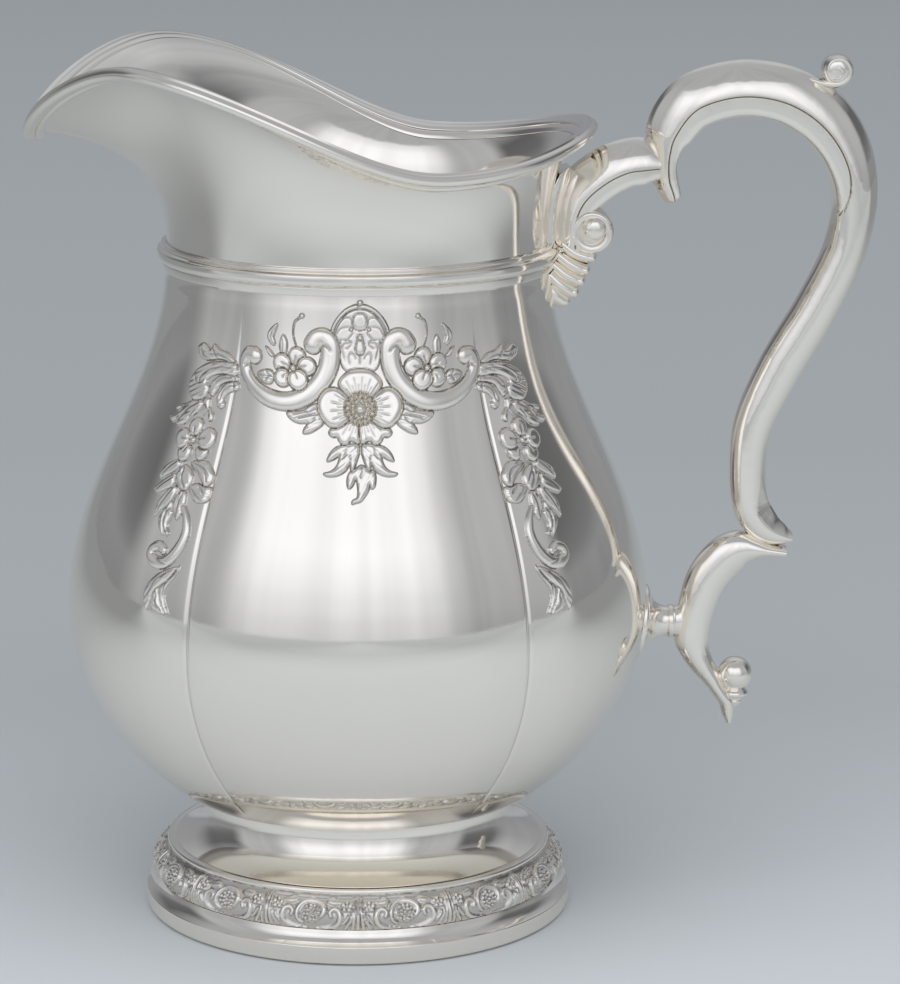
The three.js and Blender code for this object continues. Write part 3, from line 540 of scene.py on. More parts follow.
def half_section(depth, wide, flat, panel, scoop):
    """Half of a bar's section as (side, up), from the middle of its inner side round to the middle of its
    back. Away from an even half, the flat share squares the inner side; a panel is sunk that far up it,
    with a line round it, and a scoop flattens the shoulder of the back."""
    ridge = flat * depth
    squareness = min(1, abs(flat - EVEN) / SQUARE_FROM)
    power = 2 + SQUARE_POWER * squareness
    reach = panel * ridge
    up = ridge * (1 - np.cos(np.linspace(0, np.pi / 2, 23)) ** (2 / power))
    line = np.clip(reach - LINE_DROP + np.linspace(-0.3, 0.3, 5), 0, ridge)
    up = np.sort(np.concatenate([up, line]))
    side = wide * (1 - (1 - up / ridge) ** power) ** (1 / power)
    sink = PANEL_SINK * (up < reach) + PANEL_LINE * np.exp(-((up - reach + LINE_DROP) / LINE_HALF) ** 2)
    side = side - sink * ((reach > PANEL_LEAST) & (side > 2 * PANEL_SINK))
    turn = np.linspace(0, np.pi / 2, 19)[1:]
    dome_power = lerp(1, DOME_POWER, squareness)
    across, rise = np.cos(turn) ** dome_power, np.sin(turn) ** dome_power
    keep = np.minimum(1, (math.sqrt(2) - scoop) / (across + rise))
    return (np.concatenate([side, wide * across * keep]),
            np.concatenate([up, ridge + (depth - ridge) * rise * keep]))


def nothing(t):
    return 0


def bar(stations, mount, width, steps, flat=EVEN, half=0, panel=nothing, scoop=nothing):
    """Rings along a path in the middle plane, from stations of [out, up, depth, share of the width], which
    may end with a flat share of their own. Half is -1 or 1 for the front or back half alone. Panel and
    scoop give, at a share of the way, how far a sunk panel reaches up the inner side and how much of the
    back's shoulder is cut away."""
    rows = spline([row + [flat] * (5 - len(row)) for row in stations], steps)
    place = rows[:, :2] + mount
    ahead = unit(np.gradient(place, axis=0))
    out = np.stack([-ahead[:, 1], ahead[:, 0]], axis=1)
    rings = []
    for i, (centre, normal, row) in enumerate(zip(place, out, rows)):
        t = i / (len(rows) - 1)
        depth = max(row[2], 0.3)
        side, up = half_section(depth, width * row[3] / 2, row[4], panel(t), scoop(t))
        if half == 0:
            up = np.concatenate([up, up[-2:0:-1]])
            side = np.concatenate([-side, side[-2:0:-1]])
        else:
            side = half * side
        flat_place = centre + (up - depth / 2)[:, None] * normal
        rings.append(np.column_stack([flat_place[:, 0], side, flat_place[:, 1]]))
    return np.array(rings)


ARCH = [
    [32, 7, 2.8, 0.56], [31.7, 7.6, 4.8, 0.66], [31, 9.6, 6, 0.76], [30, 12.2, 6.8, 0.82],
    [29.6, 15.9, 6.6, 0.86], [29.7, 20, 8.3, 0.88], [30.6, 24.8, 12.2, 0.92], [36, 32.5, 14.3, 1],
    [44.6, 36, 14.6, 1], [53.2, 36.6, 14.8, 1], [62.6, 34.4, 15, 1], [71.2, 28.8, 14.8, 1],
    [77.2, 20, 13.6, 1, 0.44], [79.7, 8, 12, 1, 0.48],
]
STEM = [
    [51, 100, 11.6, 0.98], [44.3, 85.3, 11.8, 0.94], [34.6, 68.3, 11.8, 0.86], [28, 53, 10.5, 0.8],
    [26.9, 41.2, 9.9, 0.74], [27.9, 32.2, 9.8, 0.7], [30.2, 27.8, 9.6, 0.68], [33, 25.2, 8.4, 0.66],
    [36.6, 23.7, 5.6, 0.62], [39, 23.1, 2.4, 0.56],
]
SHIFT = LOWER - UPPER
GRIP = ARCH + [[out + SHIFT[0], up + SHIFT[1], depth, share, EVEN] for out, up, depth, share in STEM]
PANEL_REACH = 0.94
PANEL_END = 0.58
TONGUE = 0.05
SCOOP_DEPTH = 0.3
SCOOP_START, SCOOP_RUN = 0.79, 0.07


def grip_panel(t):
    """The sunk side panel covers the arch and ends in a round tongue."""
    return PANEL_REACH * math.sqrt(max(0, 1 - (max(0, t - PANEL_END + TONGUE) / TONGUE) ** 2))


def grip_scoop(t):
    """The grip's lower end is scooped on its outer side."""
    return SCOOP_DEPTH * float(ease((t - SCOOP_START) / SCOOP_RUN))


for face, half in (("front", -1), ("back", 1)):
    shell = bar(GRIP, UPPER, GRIP_WIDTH, 12, FLAT, half, grip_panel, grip_scoop)
    build(f"grip_{face}_shell", lofted(shell), CAST, f"grip_{face}_half", sharp=15)

BRACKET_WIDTH = 12.6
VOLUTE = np.array([60.8, 182.5])
BUTTON = VOLUTE + [0.5, 1.0]
BOSS_SEAT = 0.8
ARM = [
    [5, -5.5, 9.5, 1], [4.8, 1.4, 9.5, 1], [7.2, 8.4, 12.4, 1], [13.6, 14.2, 13, 1], [19.6, 17, 12.8, 1],
    [24.4, 17.6, 12.4, 0.94], [28.6, 17.4, 9, 0.8],
]
ARM_PANEL = 0.86
BACK_PLATE = [
    [5, 16, 1.6, 0.8], [3.6, 13.6, 4, 1.2], [1.9, 8, 4.6, 1.3], [1.3, 1, 4.6, 1.3], [1.2, -6, 4.4, 1.2],
    [1.2, -8, 3.6, 0.9],
]
BACK_PLATE_FLAT = 0.1
# Half of the volute's drum: radius, and distance outwards from the arm's side
DRUM = [(0.2, -BOSS_SEAT, 0), (3.4, -BOSS_SEAT, 0.3), (3.7, -0.1, 1.2), (5.0, 0.2, 1.4), (5.8, -1.0, 1.2)]


def turned_across(profile, centre, turns=48):
    """Solid turned about a line through the middle plane: profile of (radius, y)."""
    angle = full_turn(turns)[None]
    radius, across = profile[:, :1], profile[:, 1:]
    x, z = centre[0] + radius * np.cos(angle), centre[1] + radius * np.sin(angle)
    return np.stack(np.broadcast_arrays(x, across, z), axis=-1)


def bracket():
    half = BRACKET_WIDTH / 2
    front = [(radius, -half - out, corner) for radius, out, corner in DRUM]
    back = [(radius, half + out, corner) for radius, out, corner in DRUM]
    return lofted(
        bar(ARM, UPPER, BRACKET_WIDTH, 12, FLAT, panel=lambda t: ARM_PANEL),
        bar(BACK_PLATE, UPPER, BRACKET_WIDTH, 8, BACK_PLATE_FLAT),
        turned_across(rounded(front + back[::-1]), VOLUTE))


build("bracket_arm", bracket(), CAST, "upper_bracket", sharp=15)

BOSS_CAP = [(3.3, 0), (3.4, 3.0), (0.05, 3.0)]
for face, side in (("front", -1), ("back", 1)):
    radius, height = bezier(BOSS_CAP, 10).T
    cap = np.column_stack([radius, side * (BRACKET_WIDTH / 2 - BOSS_SEAT + height)])
    build(f"{face}_volute_button", lofted(turned_across(cap, BUTTON, 36)), POLISHED, f"{face}_volute_boss")


# Flutes of the shell below the bracket, each a short bar from its root to its round end
FLUTES = [
    [[3.0, -3.4, 3.6, 0.9], [6.5, -6.0, 4.2, 1], [10, -7.2, 4.2, 0.98], [11.8, -7.3, 3.2, 0.86],
     [12.5, -7.2, 0.5, 0.2]],
    [[1.8, -6.2, 3.8, 0.88], [5.2, -8.8, 4.4, 0.96], [8.4, -10.4, 4.4, 0.92], [10.2, -10.8, 3.2, 0.8],
     [10.9, -10.8, 0.5, 0.2]],
    [[0.7, -9.0, 3.8, 0.84], [4, -11.7, 4.4, 0.9], [7.2, -13.3, 4.4, 0.84], [9, -13.8, 3.2, 0.72],
     [9.7, -13.8, 0.5, 0.2]],
    [[-0.2, -11.8, 4, 0.76], [2.9, -14.6, 4.6, 0.82], [5.7, -16.4, 4.6, 0.75], [7.4, -17, 3.2, 0.64],
     [8.1, -17.1, 0.5, 0.2]],
    [[-0.6, -14.8, 4.4, 0.66], [1.4, -17.2, 5, 0.7], [3.5, -18.8, 4.6, 0.62], [5, -19.3, 3, 0.5],
     [5.7, -19.4, 0.5, 0.2]],
]
SHELL_WIDTH = 13.2
shell = lofted(*(bar(flute, UPPER, SHELL_WIDTH, 8) for flute in FLUTES))
build("fluted_shell_leaf", shell, CHASED, "shell_leaf", sharp=50)

THUMB = np.array([124.0, 224.5])
THUMB_WIDTH = 9.5
THUMB_ROLL = [
    (0.2, -4.3, 0), (2.2, -4.2, 1.2), (3.7, -2.8, 1.4), (4.2, 0, 2), (3.7, 2.8, 1.4), (2.2, 4.2, 1.2),
    (0.2, 4.3, 0),
]
THUMB_TAIL = [[-8.6, -1.9, 0.9, 0.5], [-6, -2.7, 1.8, 0.58], [-3.2, -3.5, 2.6, 0.64]]


def thumb_curl():
    """Roll of the thumb piece: a ball wound round by a bar that runs in from its tail."""
    winding = []
    for step in range(12):
        angle, share = math.radians(-75 + 45 * step), step / 11
        radius = lerp(3.5, 0.8, share ** 1.5)
        winding.append([radius * math.cos(angle), radius * math.sin(angle), lerp(2.6, 1.5, share),
                        lerp(0.68, 1.02, share ** 0.7)])
    return lofted(turned_across(rounded(THUMB_ROLL), THUMB),
                  bar(THUMB_TAIL + winding, THUMB, THUMB_WIDTH, 6))


build("thumb_curl", thumb_curl(), CAST, "thumb_scroll", sharp=45)

SCROLL_WIDTH = 9.6
BALL = LOWER + [24.8, -14.6]
LOWER_SCROLL = [
    [37.5, 19.1, 3.0, 0.8], [32.6, 19.7, 4.0, 0.88], [28.9, 20.1, 6.8, 0.96], [25.4, 19.9, 10, 1],
    [22.1, 18.1, 11.2, 1], [19, 15, 11.3, 1], [16.5, 11.2, 11, 1], [14.6, 6, 10.4, 1], [13.4, 0.6, 9.9, 1],
    [13, -4.4, 9.8, 1], [14.2, -8.6, 8, 0.96], [16, -12, 6.6, 0.92], [18.2, -15.2, 5.4, 0.86],
    [20.4, -18.8, 4.4, 0.8], [22.5, -22, 4.2, 0.72], [23.1, -25.4, 3.4, 0.62], [23.4, -27.8, 1.8, 0.5],
]
# Little collar under the ball: radius and height from the ball's middle
COLLAR_TURNED = [
    (0.2, -3.4, 0), (2.6, -3.6, 0.4), (3.7, -4.9, 0.5), (3.7, -5.7, 0.4), (2.1, -6.3, 0.3), (1.8, -7.0, 0.2),
    (2.0, -7.6, 0.3), (1.2, -8.8, 0.6), (0.2, -9.4, 0),
]


def lower_scroll():
    profile = rounded(COLLAR_TURNED)
    collar = around(full_turn(40)[None], profile[:, :1], profile[:, 1:]) + [BALL[0], 0, BALL[1]]
    return lofted(bar(LOWER_SCROLL, LOWER, SCROLL_WIDTH, 8), collar)


build("lower_scroll_bar", lower_scroll(), CAST, "lower_scroll", sharp=45)

BALL_RADIUS = 4.7
ball_turn = np.linspace(-np.pi / 2 + 0.02, np.pi / 2 - 0.02, 33)
ball = np.column_stack([np.cos(ball_turn), np.sin(ball_turn)]) * BALL_RADIUS
build("scroll_bead", lofted(turned_across(ball, BALL)), POLISHED, "scroll_ball")


# Spool of the lower joint: radius and distance from the bowl
SPOOL = [
    (0.2, -0.4, 0), (9.7, -0.4, 0), (9.9, 0.5, 0.3), (9.3, 1.0, 0.3), (7.4, 1.5, 0.8), (5.3, 2.6, 1.2),
    (4.2, 4.6, 1.5), (4.0, 6.2, 0.6), (4.45, 6.7, 0.3), (4.45, 7.7, 0.3), (4.0, 8.2, 0.5), (4.6, 9.8, 1.5),
    (6.4, 11.2, 1.5), (8.4, 12.2, 0.6), (8.4, 13, 0), (0.2, 13, 0),
]
PINCH = 0.5
PINCH_START, PINCH_RUN = 8, 4
SEAT_START, SEAT_RUN = 1.9, 4


def ferrule():
    """Spool on a level line: its flange follows the bowl, its far end narrows sideways into the scroll."""
    profile = rounded(SPOOL)
    angle = full_turn(64)[None]
    radius, out = profile[:, :1], profile[:, 1:]
    y = radius * np.cos(angle) * lerp(1, PINCH, np.clip((out - PINCH_START) / PINCH_RUN, 0, 1))
    z = LOWER[1] + radius * np.sin(angle)
    seat = np.sqrt(bowl_radius(z) ** 2 - y ** 2) - bowl_radius(LOWER[1])
    x = LOWER[0] + out + seat * np.clip(1 - (out - SEAT_START) / SEAT_RUN, 0, 1)
    return lofted(np.stack([x, y, z], axis=-1))


build("ferrule_spool", ferrule(), POLISHED, "lower_ferrule")

# Chased ornament

# Heights over the bowl: the ground, the lip round an element and the foot of the element's dome
SUNK = -0.45
LIP = 0.1
DOME_FOOT = 0.2
BACK_DEPTH = 0.15
# Steepest rise away from an element, and fall of the bank round it
RISE_AWAY = 2.5
BANK_FALL = 0.5
MARGIN = 1.3
CUT = 0.25
CUT_END = 0.35
CUT_TAPER = 5
CUT_MARGIN = 1
RAISED_FROM = SUNK + 0.02
RIB_PITCH = 1.25
RIB_HEIGHT = 0.055
# Darkness of the painted shade and tarnish in the cut lines in general, in the main flower's rays and in its
# eye
LINE_SHADE = 0.55
RAY_SHADE = 0.4
EYE_SHADE = 0.25
ORNAMENT_SHARP = 60


def loop(outline, steps=5):
    """Closed curve through the points of an outline."""
    points = [list(p) for p in outline]
    return spline(points[-2:] + points + points[:3], steps)[2 * steps:(2 + len(points)) * steps + 1]


class Relief:
    """Heights over a flat patch, u across and v up, and how dark each place is painted with shade and
    tarnish.
    """

    def __init__(self, u_range, v_range, cell):
        self.u, self.v = np.meshgrid(np.arange(*u_range, cell), np.arange(*v_range, cell))
        self.cell = cell
        self.height = np.full(self.u.shape, SUNK)
        self.shade_tarnish = np.zeros(self.u.shape)
        self.outline_shade = LINE_SHADE

    def window(self, points, margin):
        low, high = np.min(points, axis=0) - margin, np.max(points, axis=0) + margin
        rows = np.flatnonzero((self.v[:, 0] >= low[1]) & (self.v[:, 0] <= high[1]))
        columns = np.flatnonzero((self.u[0] >= low[0]) & (self.u[0] <= high[0]))
        return np.ix_(rows, columns)

    def follow(self, path, where):
        """Share along a path and distance from it, for each cell of a window."""
        u, v = self.u[where][..., None], self.v[where][..., None]
        start, leg = path[:-1], np.diff(path, axis=0)
        length2 = np.maximum(np.sum(leg ** 2, axis=1), 1e-9)
        share = np.clip(((u - start[:, 0]) * leg[:, 0] + (v - start[:, 1]) * leg[:, 1]) / length2, 0, 1)
        distance2 = (u - start[:, 0] - share * leg[:, 0]) ** 2 + (v - start[:, 1] - share * leg[:, 1]) ** 2
        best = distance2.argmin(axis=-1)[..., None]
        along = (best + np.take_along_axis(share, best, -1)) / len(leg)
        return along[..., 0], np.sqrt(np.take_along_axis(distance2, best, -1)[..., 0])

    def press(self, where, outside, body):
        """Raises an element over what lies below it, with a painted dark line of shade and tarnish round its
        edge.
        """
        ground = np.minimum(self.height[where], LIP + RISE_AWAY * outside)
        ground = np.maximum(ground, LIP - BANK_FALL * outside)
        # Painted shade and tarnish: a dark line along the element's edge
        line = self.outline_shade * np.clip(1.2 - np.abs(outside) / CUT, 0, 1)
        inside = outside < 0
        self.height[where] = np.maximum(np.where(inside, body, ground), SUNK)
        self.shade_tarnish[where] = np.where(inside, line, np.maximum(self.shade_tarnish[where], line))

    def pad(self, outline, height, reach=1.1, ribs=0.0):
        """Domed element within a closed outline, with fine ribs along its length where asked."""
        path = loop(outline)
        where = self.window(path, MARGIN)
        u, v = self.u[where][..., None], self.v[where][..., None]
        (u0, v0), (u1, v1) = path[:-1].T, path[1:].T
        level = np.where(v1 == v0, 1e-9, v1 - v0)
        crossed = ((v0 > v) != (v1 > v)) & (u < (u1 - u0) * (v - v0) / level + u0)
        away = self.follow(path, where)[1]
        outside = np.where(crossed.sum(axis=-1) % 2 == 1, -away, away)
        dome = np.sqrt(1 - (1 - np.clip(-outside / reach, 0, 1)) ** 2)
        middle = path.mean(axis=0)
        side = np.linalg.svd(path - middle, full_matrices=False)[2][1]
        across = (self.u[where] - middle[0]) * side[0] + (self.v[where] - middle[1]) * side[1]
        rib = ribs * np.cos(2 * np.pi * across / RIB_PITCH)
        self.press(where, outside, lerp(DOME_FOOT, height + rib, dome))

    def leaf(self, outline, height):
        self.pad(outline, height, ribs=RIB_HEIGHT)

    def tube(self, stations, height):
        """Round band along [u, v, half width] stations."""
        rows = spline(stations, 6)
        where = self.window(rows[:, :2], rows[:, 2].max() + MARGIN)
        t, away = self.follow(rows[:, :2], where)
        half = np.interp(t, np.linspace(0, 1, len(rows)), rows[:, 2])
        top = height * (half / rows[:, 2].max()) ** 0.5
        dome = np.sqrt(np.clip(1 - (away / half) ** 2, 0, 1))
        self.press(where, away - half, lerp(DOME_FOOT, top, dome))

    def ball(self, place, radius, height):
        where = self.window(np.array([place]), radius + MARGIN)
        away = np.hypot(self.u[where] - place[0], self.v[where] - place[1])
        dome = np.sqrt(np.clip(1 - (away / radius) ** 2, 0, 1))
        self.press(where, away - radius, lerp(DOME_FOOT, height, dome))

    def beads(self, centre, count, ring, radius, height, start=0.0):
        """Balls in a ring round a place."""
        for angle in start + np.arange(count) * 2 * math.pi / count:
            place = [centre[0] + ring * math.cos(angle), centre[1] + ring * math.sin(angle)]
            self.ball(place, radius, height)

    def cuts(self, paths, half=0.2, depth=0.22):
        """Lines chased into whatever is raised, tapering at their ends."""
        for points in paths:
            rows = spline(points, 5)
            where = self.window(rows, CUT_MARGIN)
            t, away = self.follow(rows, where)
            cut = np.exp(-(away / half) ** 2) * np.clip(CUT_END + CUT_TAPER * np.minimum(t, 1 - t), 0, 1)
            self.height[where] = np.maximum(self.height[where] - depth * cut, SUNK)
            # Painted shade and tarnish along the cut line
            self.shade_tarnish[where] = np.maximum(self.shade_tarnish[where], self.outline_shade * cut)

    def bloom(self, centre, petals, height):
        """Small flower: round petals of [u, v, radius] with a cut vein each, and a ringed eye."""
        turn = full_turn(10)
        for u, v, radius in petals:
            self.pad(np.column_stack([u + radius * np.cos(turn), v + radius * np.sin(turn)]), height)
            self.cuts([[centre, [lerp(centre[0], u, 0.7), lerp(centre[1], v, 0.7)], [u, v]]])
        self.ball(centre, 0.8, height)


BLOCK = 4


def relief_form(relief, place):
    """Closed solid from the raised cells: relief on top, a plain back sunk in the bowl's sheet."""
    h = relief.height
    raised = h > RAISED_FROM
    cells = raised[:-1, :-1] | raised[1:, :-1] | raised[:-1, 1:] | raised[1:, 1:]
    rows, columns = (n // BLOCK * BLOCK for n in cells.shape)
    cells[rows:], cells[:, columns:] = False, False
    used = np.zeros(h.shape, bool)
    for dr in (0, 1):
        for dc in (0, 1):
            used[dr:dr + cells.shape[0], dc:dc + cells.shape[1]] |= cells
    inner = np.pad(cells, 1)
    inner = inner[:-1, :-1] & inner[1:, :-1] & inner[:-1, 1:] & inner[1:, 1:]
    form = Form()
    number = np.full(h.shape, -1)
    number[used] = form.add(place(relief.u[used], relief.v[used], h[used]))
    under = number.copy()
    deep = used & inner
    under[deep] = form.add(place(relief.u[deep], relief.v[deep], np.full(deep.sum(), SUNK - BACK_DEPTH)))
    r, c = np.nonzero(cells)
    top = np.stack([number[r, c], number[r, c + 1], number[r + 1, c + 1], number[r + 1, c]], axis=-1)
    form.faces += top.tolist()
    blocks = cells[:rows, :columns].reshape(rows // BLOCK, BLOCK, columns // BLOCK, BLOCK)
    full = np.pad(blocks.all(axis=(1, 3)), 1)
    for br, bc in np.argwhere(blocks.any(axis=(1, 3))):
        r0, c0 = br * BLOCK, bc * BLOCK
        if not full[br + 1, bc + 1]:
            for r, c in np.argwhere(cells[r0:r0 + BLOCK, c0:c0 + BLOCK]) + [r0, c0]:
                form.faces.append([int(under[p]) for p in ((r, c), (r + 1, c), (r + 1, c + 1), (r, c + 1))])
            continue
        ring = []
        for (r, c), (dr, dc), beside in (((r0, c0), (1, 0), (0, -1)), ((r0 + BLOCK, c0), (0, 1), (1, 0)),
                                         ((r0 + BLOCK, c0 + BLOCK), (-1, 0), (0, 1)),
                                         ((r0, c0 + BLOCK), (0, -1), (-1, 0))):
            steps = 1 if full[br + 1 + beside[0], bc + 1 + beside[1]] else BLOCK
            ring += [int(under[r + dr * k, c + dc * k]) for k in range(steps)]
        form.faces.append(ring)
    # Painted shade and tarnish of each raised point; none on the back
    recess = np.concatenate([relief.shade_tarnish[used], np.zeros(deep.sum())])
    return form, recess


def mirrored(rows):
    return [[-row[0]] + list(row[1:]) for row in rows]


def both_sides(half):
    """Outline with its mirror image, from its half at the left of the middle line."""
    return half + mirrored(half)[::-1]


ORNAMENT_Z = 146
CELL = 0.23

C_SCROLL = [
    [-11.6, 15.1, 2.5], [-10.7, 16.3, 2.45], [-9.2, 16.7, 2.45], [-7.8, 15.3, 2.5], [-7.5, 12.6, 2.5],
    [-8.0, 9.4, 2.5], [-9.8, 6.0, 2.4], [-12.8, 3.2, 2.4], [-16.8, 1.3, 2.3], [-20.9, 1.1, 2.2],
    [-24.9, 2.3, 2.1], [-27.9, 4.4, 1.9], [-29.8, 6.9, 1.8], [-30.2, 9.5, 1.8], [-29.1, 11.5, 1.9],
    [-27.5, 11.4, 2.2],
]
C_CURLS = [
    [[-10.1, 11.9], [-9.8, 13.7], [-9.0, 14.8], [-8.0, 14.5], [-7.1, 13.2]],
    [[-29.9, 8.6], [-29.0, 9.2], [-27.9, 8.6], [-27.3, 7.6]],
]
TOP_PETAL = [[-2.2, 9.1], [-3.9, 8.1], [-5.2, 6.7], [-5.5, 5.4], [-4.7, 3.9], [-3.2, 2.4], [-1.7, 1.4]]
SIDE_PETAL = [
    [-10.7, 0.9], [-10.2, 2.5], [-9.1, 3.9], [-7.5, 4.8], [-6.0, 4.8], [-4.6, 4.0], [-3.4, 2.8], [-2.0, 1.2],
    [-1.6, -0.8], [-2.4, -2.6], [-4.0, -4.0], [-6.1, -4.9], [-7.6, -4.6], [-8.8, -3.7], [-9.9, -2.2],
    [-10.6, -0.6],
]
LOW_PETAL = [
    [-0.1, -2.4], [-1.7, -2.4], [-3.4, -3.0], [-5.2, -4.0], [-6.8, -4.7], [-7.7, -5.3], [-7.8, -6.2],
    [-6.9, -7.0], [-5.8, -7.0], [-5.3, -7.9], [-4.2, -8.8], [-3.0, -8.5], [-2.4, -7.8], [-1.5, -8.1],
    [-0.8, -8.5], [-0.1, -8.3],
]
# Fine lines chased outwards over the main flower's petals, long and short by turns
FLOWER_CENTRE = [0, -0.3]
RAYS = 44
RAY_START = 3.5
RAY_ENDS = (7.6, 5.8)
SIDE_LEAF = [
    [-9.1, 0.5], [-10.9, 0.9], [-12.8, 0.1], [-14.4, -0.9], [-18.6, -1.6], [-18.1, -2.6], [-16.9, -3.5],
    [-15.2, -4.0], [-13.4, -4.0], [-14.2, -5.3], [-14.3, -6.3], [-12.7, -6.2], [-10.9, -5.3], [-9.2, -3.9],
    [-9.1, -2.1],
]
SIDE_LEAF_CUTS = [[[-9.1, -1.8], [-12.4, -1.9], [-16.1, -2.9]], [[-10.9, 0.0], [-12.8, -1.2], [-13.9, -1.1]],
                  [[-11.0, -2.2], [-12.0, -3.6], [-13.3, -4.0]]]
LOW_LEAF = [
    [-0.3, -8.8], [-2.3, -8.4], [-4.2, -8.6], [-6.2, -9.3], [-7.6, -10.7], [-8.3, -12.6], [-6.7, -12.2],
    [-5.4, -11.5], [-5.6, -12.8], [-6.4, -14.1], [-7.6, -14.9], [-9.2, -15.4], [-8.8, -15.9], [-7.1, -16.1],
    [-5.2, -15.7], [-3.5, -14.6], [-2.7, -13.4], [-2.3, -14.9], [-1.6, -14.3], [-0.8, -12.3], [-0.2, -10.3],
]
LOW_LEAF_CUTS = [[[-3.5, -9.3], [-3.6, -10.8], [-4.4, -12.0]], [[-2.7, -13.4], [-2.4, -11.9], [-2.9, -11.0]],
                 [[-5.4, -11.5], [-5.0, -11.1], [-4.7, -10.8]]]
END_LEAF = [
    [0.1, -13.3], [-1.2, -14.1], [-2.6, -14.8], [-3.2, -15.9], [-3.4, -17.4], [-3.1, -18.7], [-2.6, -18.8],
    [-1.7, -17.8], [-1.2, -16.6], [-0.9, -17.7], [-0.7, -19.3], [-1.0, -21.0], [-1.6, -21.2], [-2.2, -21.8],
    [-2.1, -22.4], [-1.4, -22.2], [0.0, -21.8], [1.2, -20.5], [2.1, -19.0], [2.2, -17.9], [2.4, -18.6],
    [2.9, -18.9], [3.5, -18.4], [3.8, -16.9], [3.7, -15.4], [3.3, -14.5], [2.3, -14.5], [1.3, -13.8],
]
GROUND = [[-6.1, 17.3], [-5.9, 18.7], [-5.0, 20.5], [-3.9, 22.1], [-2.5, 23.2], [-0.8, 23.8]]
GROUND_FOOT = [[-3.2, 8.6], [-4.6, 10.0], [-5.1, 12.6], [-5.6, 15.0]]
ARCH_LINE = [[-6.9, 16.8, 0.4], [-6.8, 18.7, 0.4], [-5.9, 20.7, 0.4], [-4.6, 22.4, 0.42], [-3.2, 23.6, 0.45],
             [-1.6, 24.3, 0.5], [0.0, 24.6, 0.55]]
SHIELD = [[-0.9, 22.8], [-1.6, 21.9], [-1.9, 20.9], [-1.8, 19.8], [-1.1, 18.8]]
CREST_CUTS = [
    [[-4.7, 20.9], [-3.9, 21.7], [-2.8, 21.7], [-2.0, 20.9], [-1.8, 19.8], [-2.1, 19.1]],
    [[-5.9, 17.3], [-5.2, 18.6], [-4.1, 19.3], [-2.7, 19.4]],
    [[-2.3, 18.8], [-1.9, 17.9], [-2.4, 17.0], [-3.0, 16.4]], [[-4.3, 16.2], [-3.0, 16.2], [-2.1, 15.5]],
    [[-4.4, 13.9], [-4.2, 14.8], [-3.7, 15.4], [-2.8, 15.6], [-2.3, 15.1], [-3.0, 14.3], [-3.7, 14.1]],
    [[-4.8, 16.4], [-4.9, 15.1], [-4.4, 13.5], [-3.8, 11.1]], [[-2.3, 13.2], [-2.8, 12.0], [-2.5, 10.1]],
    [[-2.3, 13.2], [-1.4, 12.4], [-1.0, 11.4]],
]
BUD = [[-0.4, 16.8], [-1.0, 15.3], [-1.2, 13.9], [-0.8, 12.8]]
FLOWER_LEAF = [[-26.7, 7.1], [-24.9, 8.2], [-22.6, 8.2], [-21.8, 6.4], [-22.9, 4.9], [-24.9, 5.2]]
FLOWER_LEAF_CUTS = [[[-22.0, 6.8], [-24.1, 6.9], [-26.2, 6.9]], [[-23.0, 6.9], [-23.8, 7.5], [-24.0, 8.0]],
                    [[-23.2, 6.7], [-24.0, 6.0], [-24.2, 5.4]]]
SPRIGS = [
    [[-22.0, 14.2], [-23.3, 15.1], [-23.8, 16.6], [-23.1, 18.1], [-21.0, 19.7], [-21.5, 17.8], [-22.0, 16.4],
     [-21.6, 15.0]],
    [[-19.9, 12.0], [-20.6, 14.4], [-20.2, 16.2], [-19.5, 17.1], [-18.6, 15.9], [-18.4, 14.2], [-18.9, 12.0]],
    [[-24.4, 13.9], [-23.3, 13.4], [-21.9, 11.6], [-22.9, 11.6], [-23.8, 12.5]],
]
SPRIG_CUTS = [[[-22.0, 14.6], [-22.8, 16.4], [-21.6, 18.9]], [[-19.5, 12.6], [-19.5, 14.4], [-19.5, 16.2]]]
TENDRIL = [[-15.9, 14.0, 0.15], [-16.7, 16.2, 0.15], [-16.9, 18.3, 0.15], [-16.4, 20.4, 0.2],
           [-15.2, 21.4, 0.25]]
BLOOM = [[-15.9, 12.0, 2.3], [-13.3, 9.6, 2.4], [-19.8, 10.2, 2.4], [-19.6, 6.6, 2.3], [-15.6, 6.3, 2.6]]


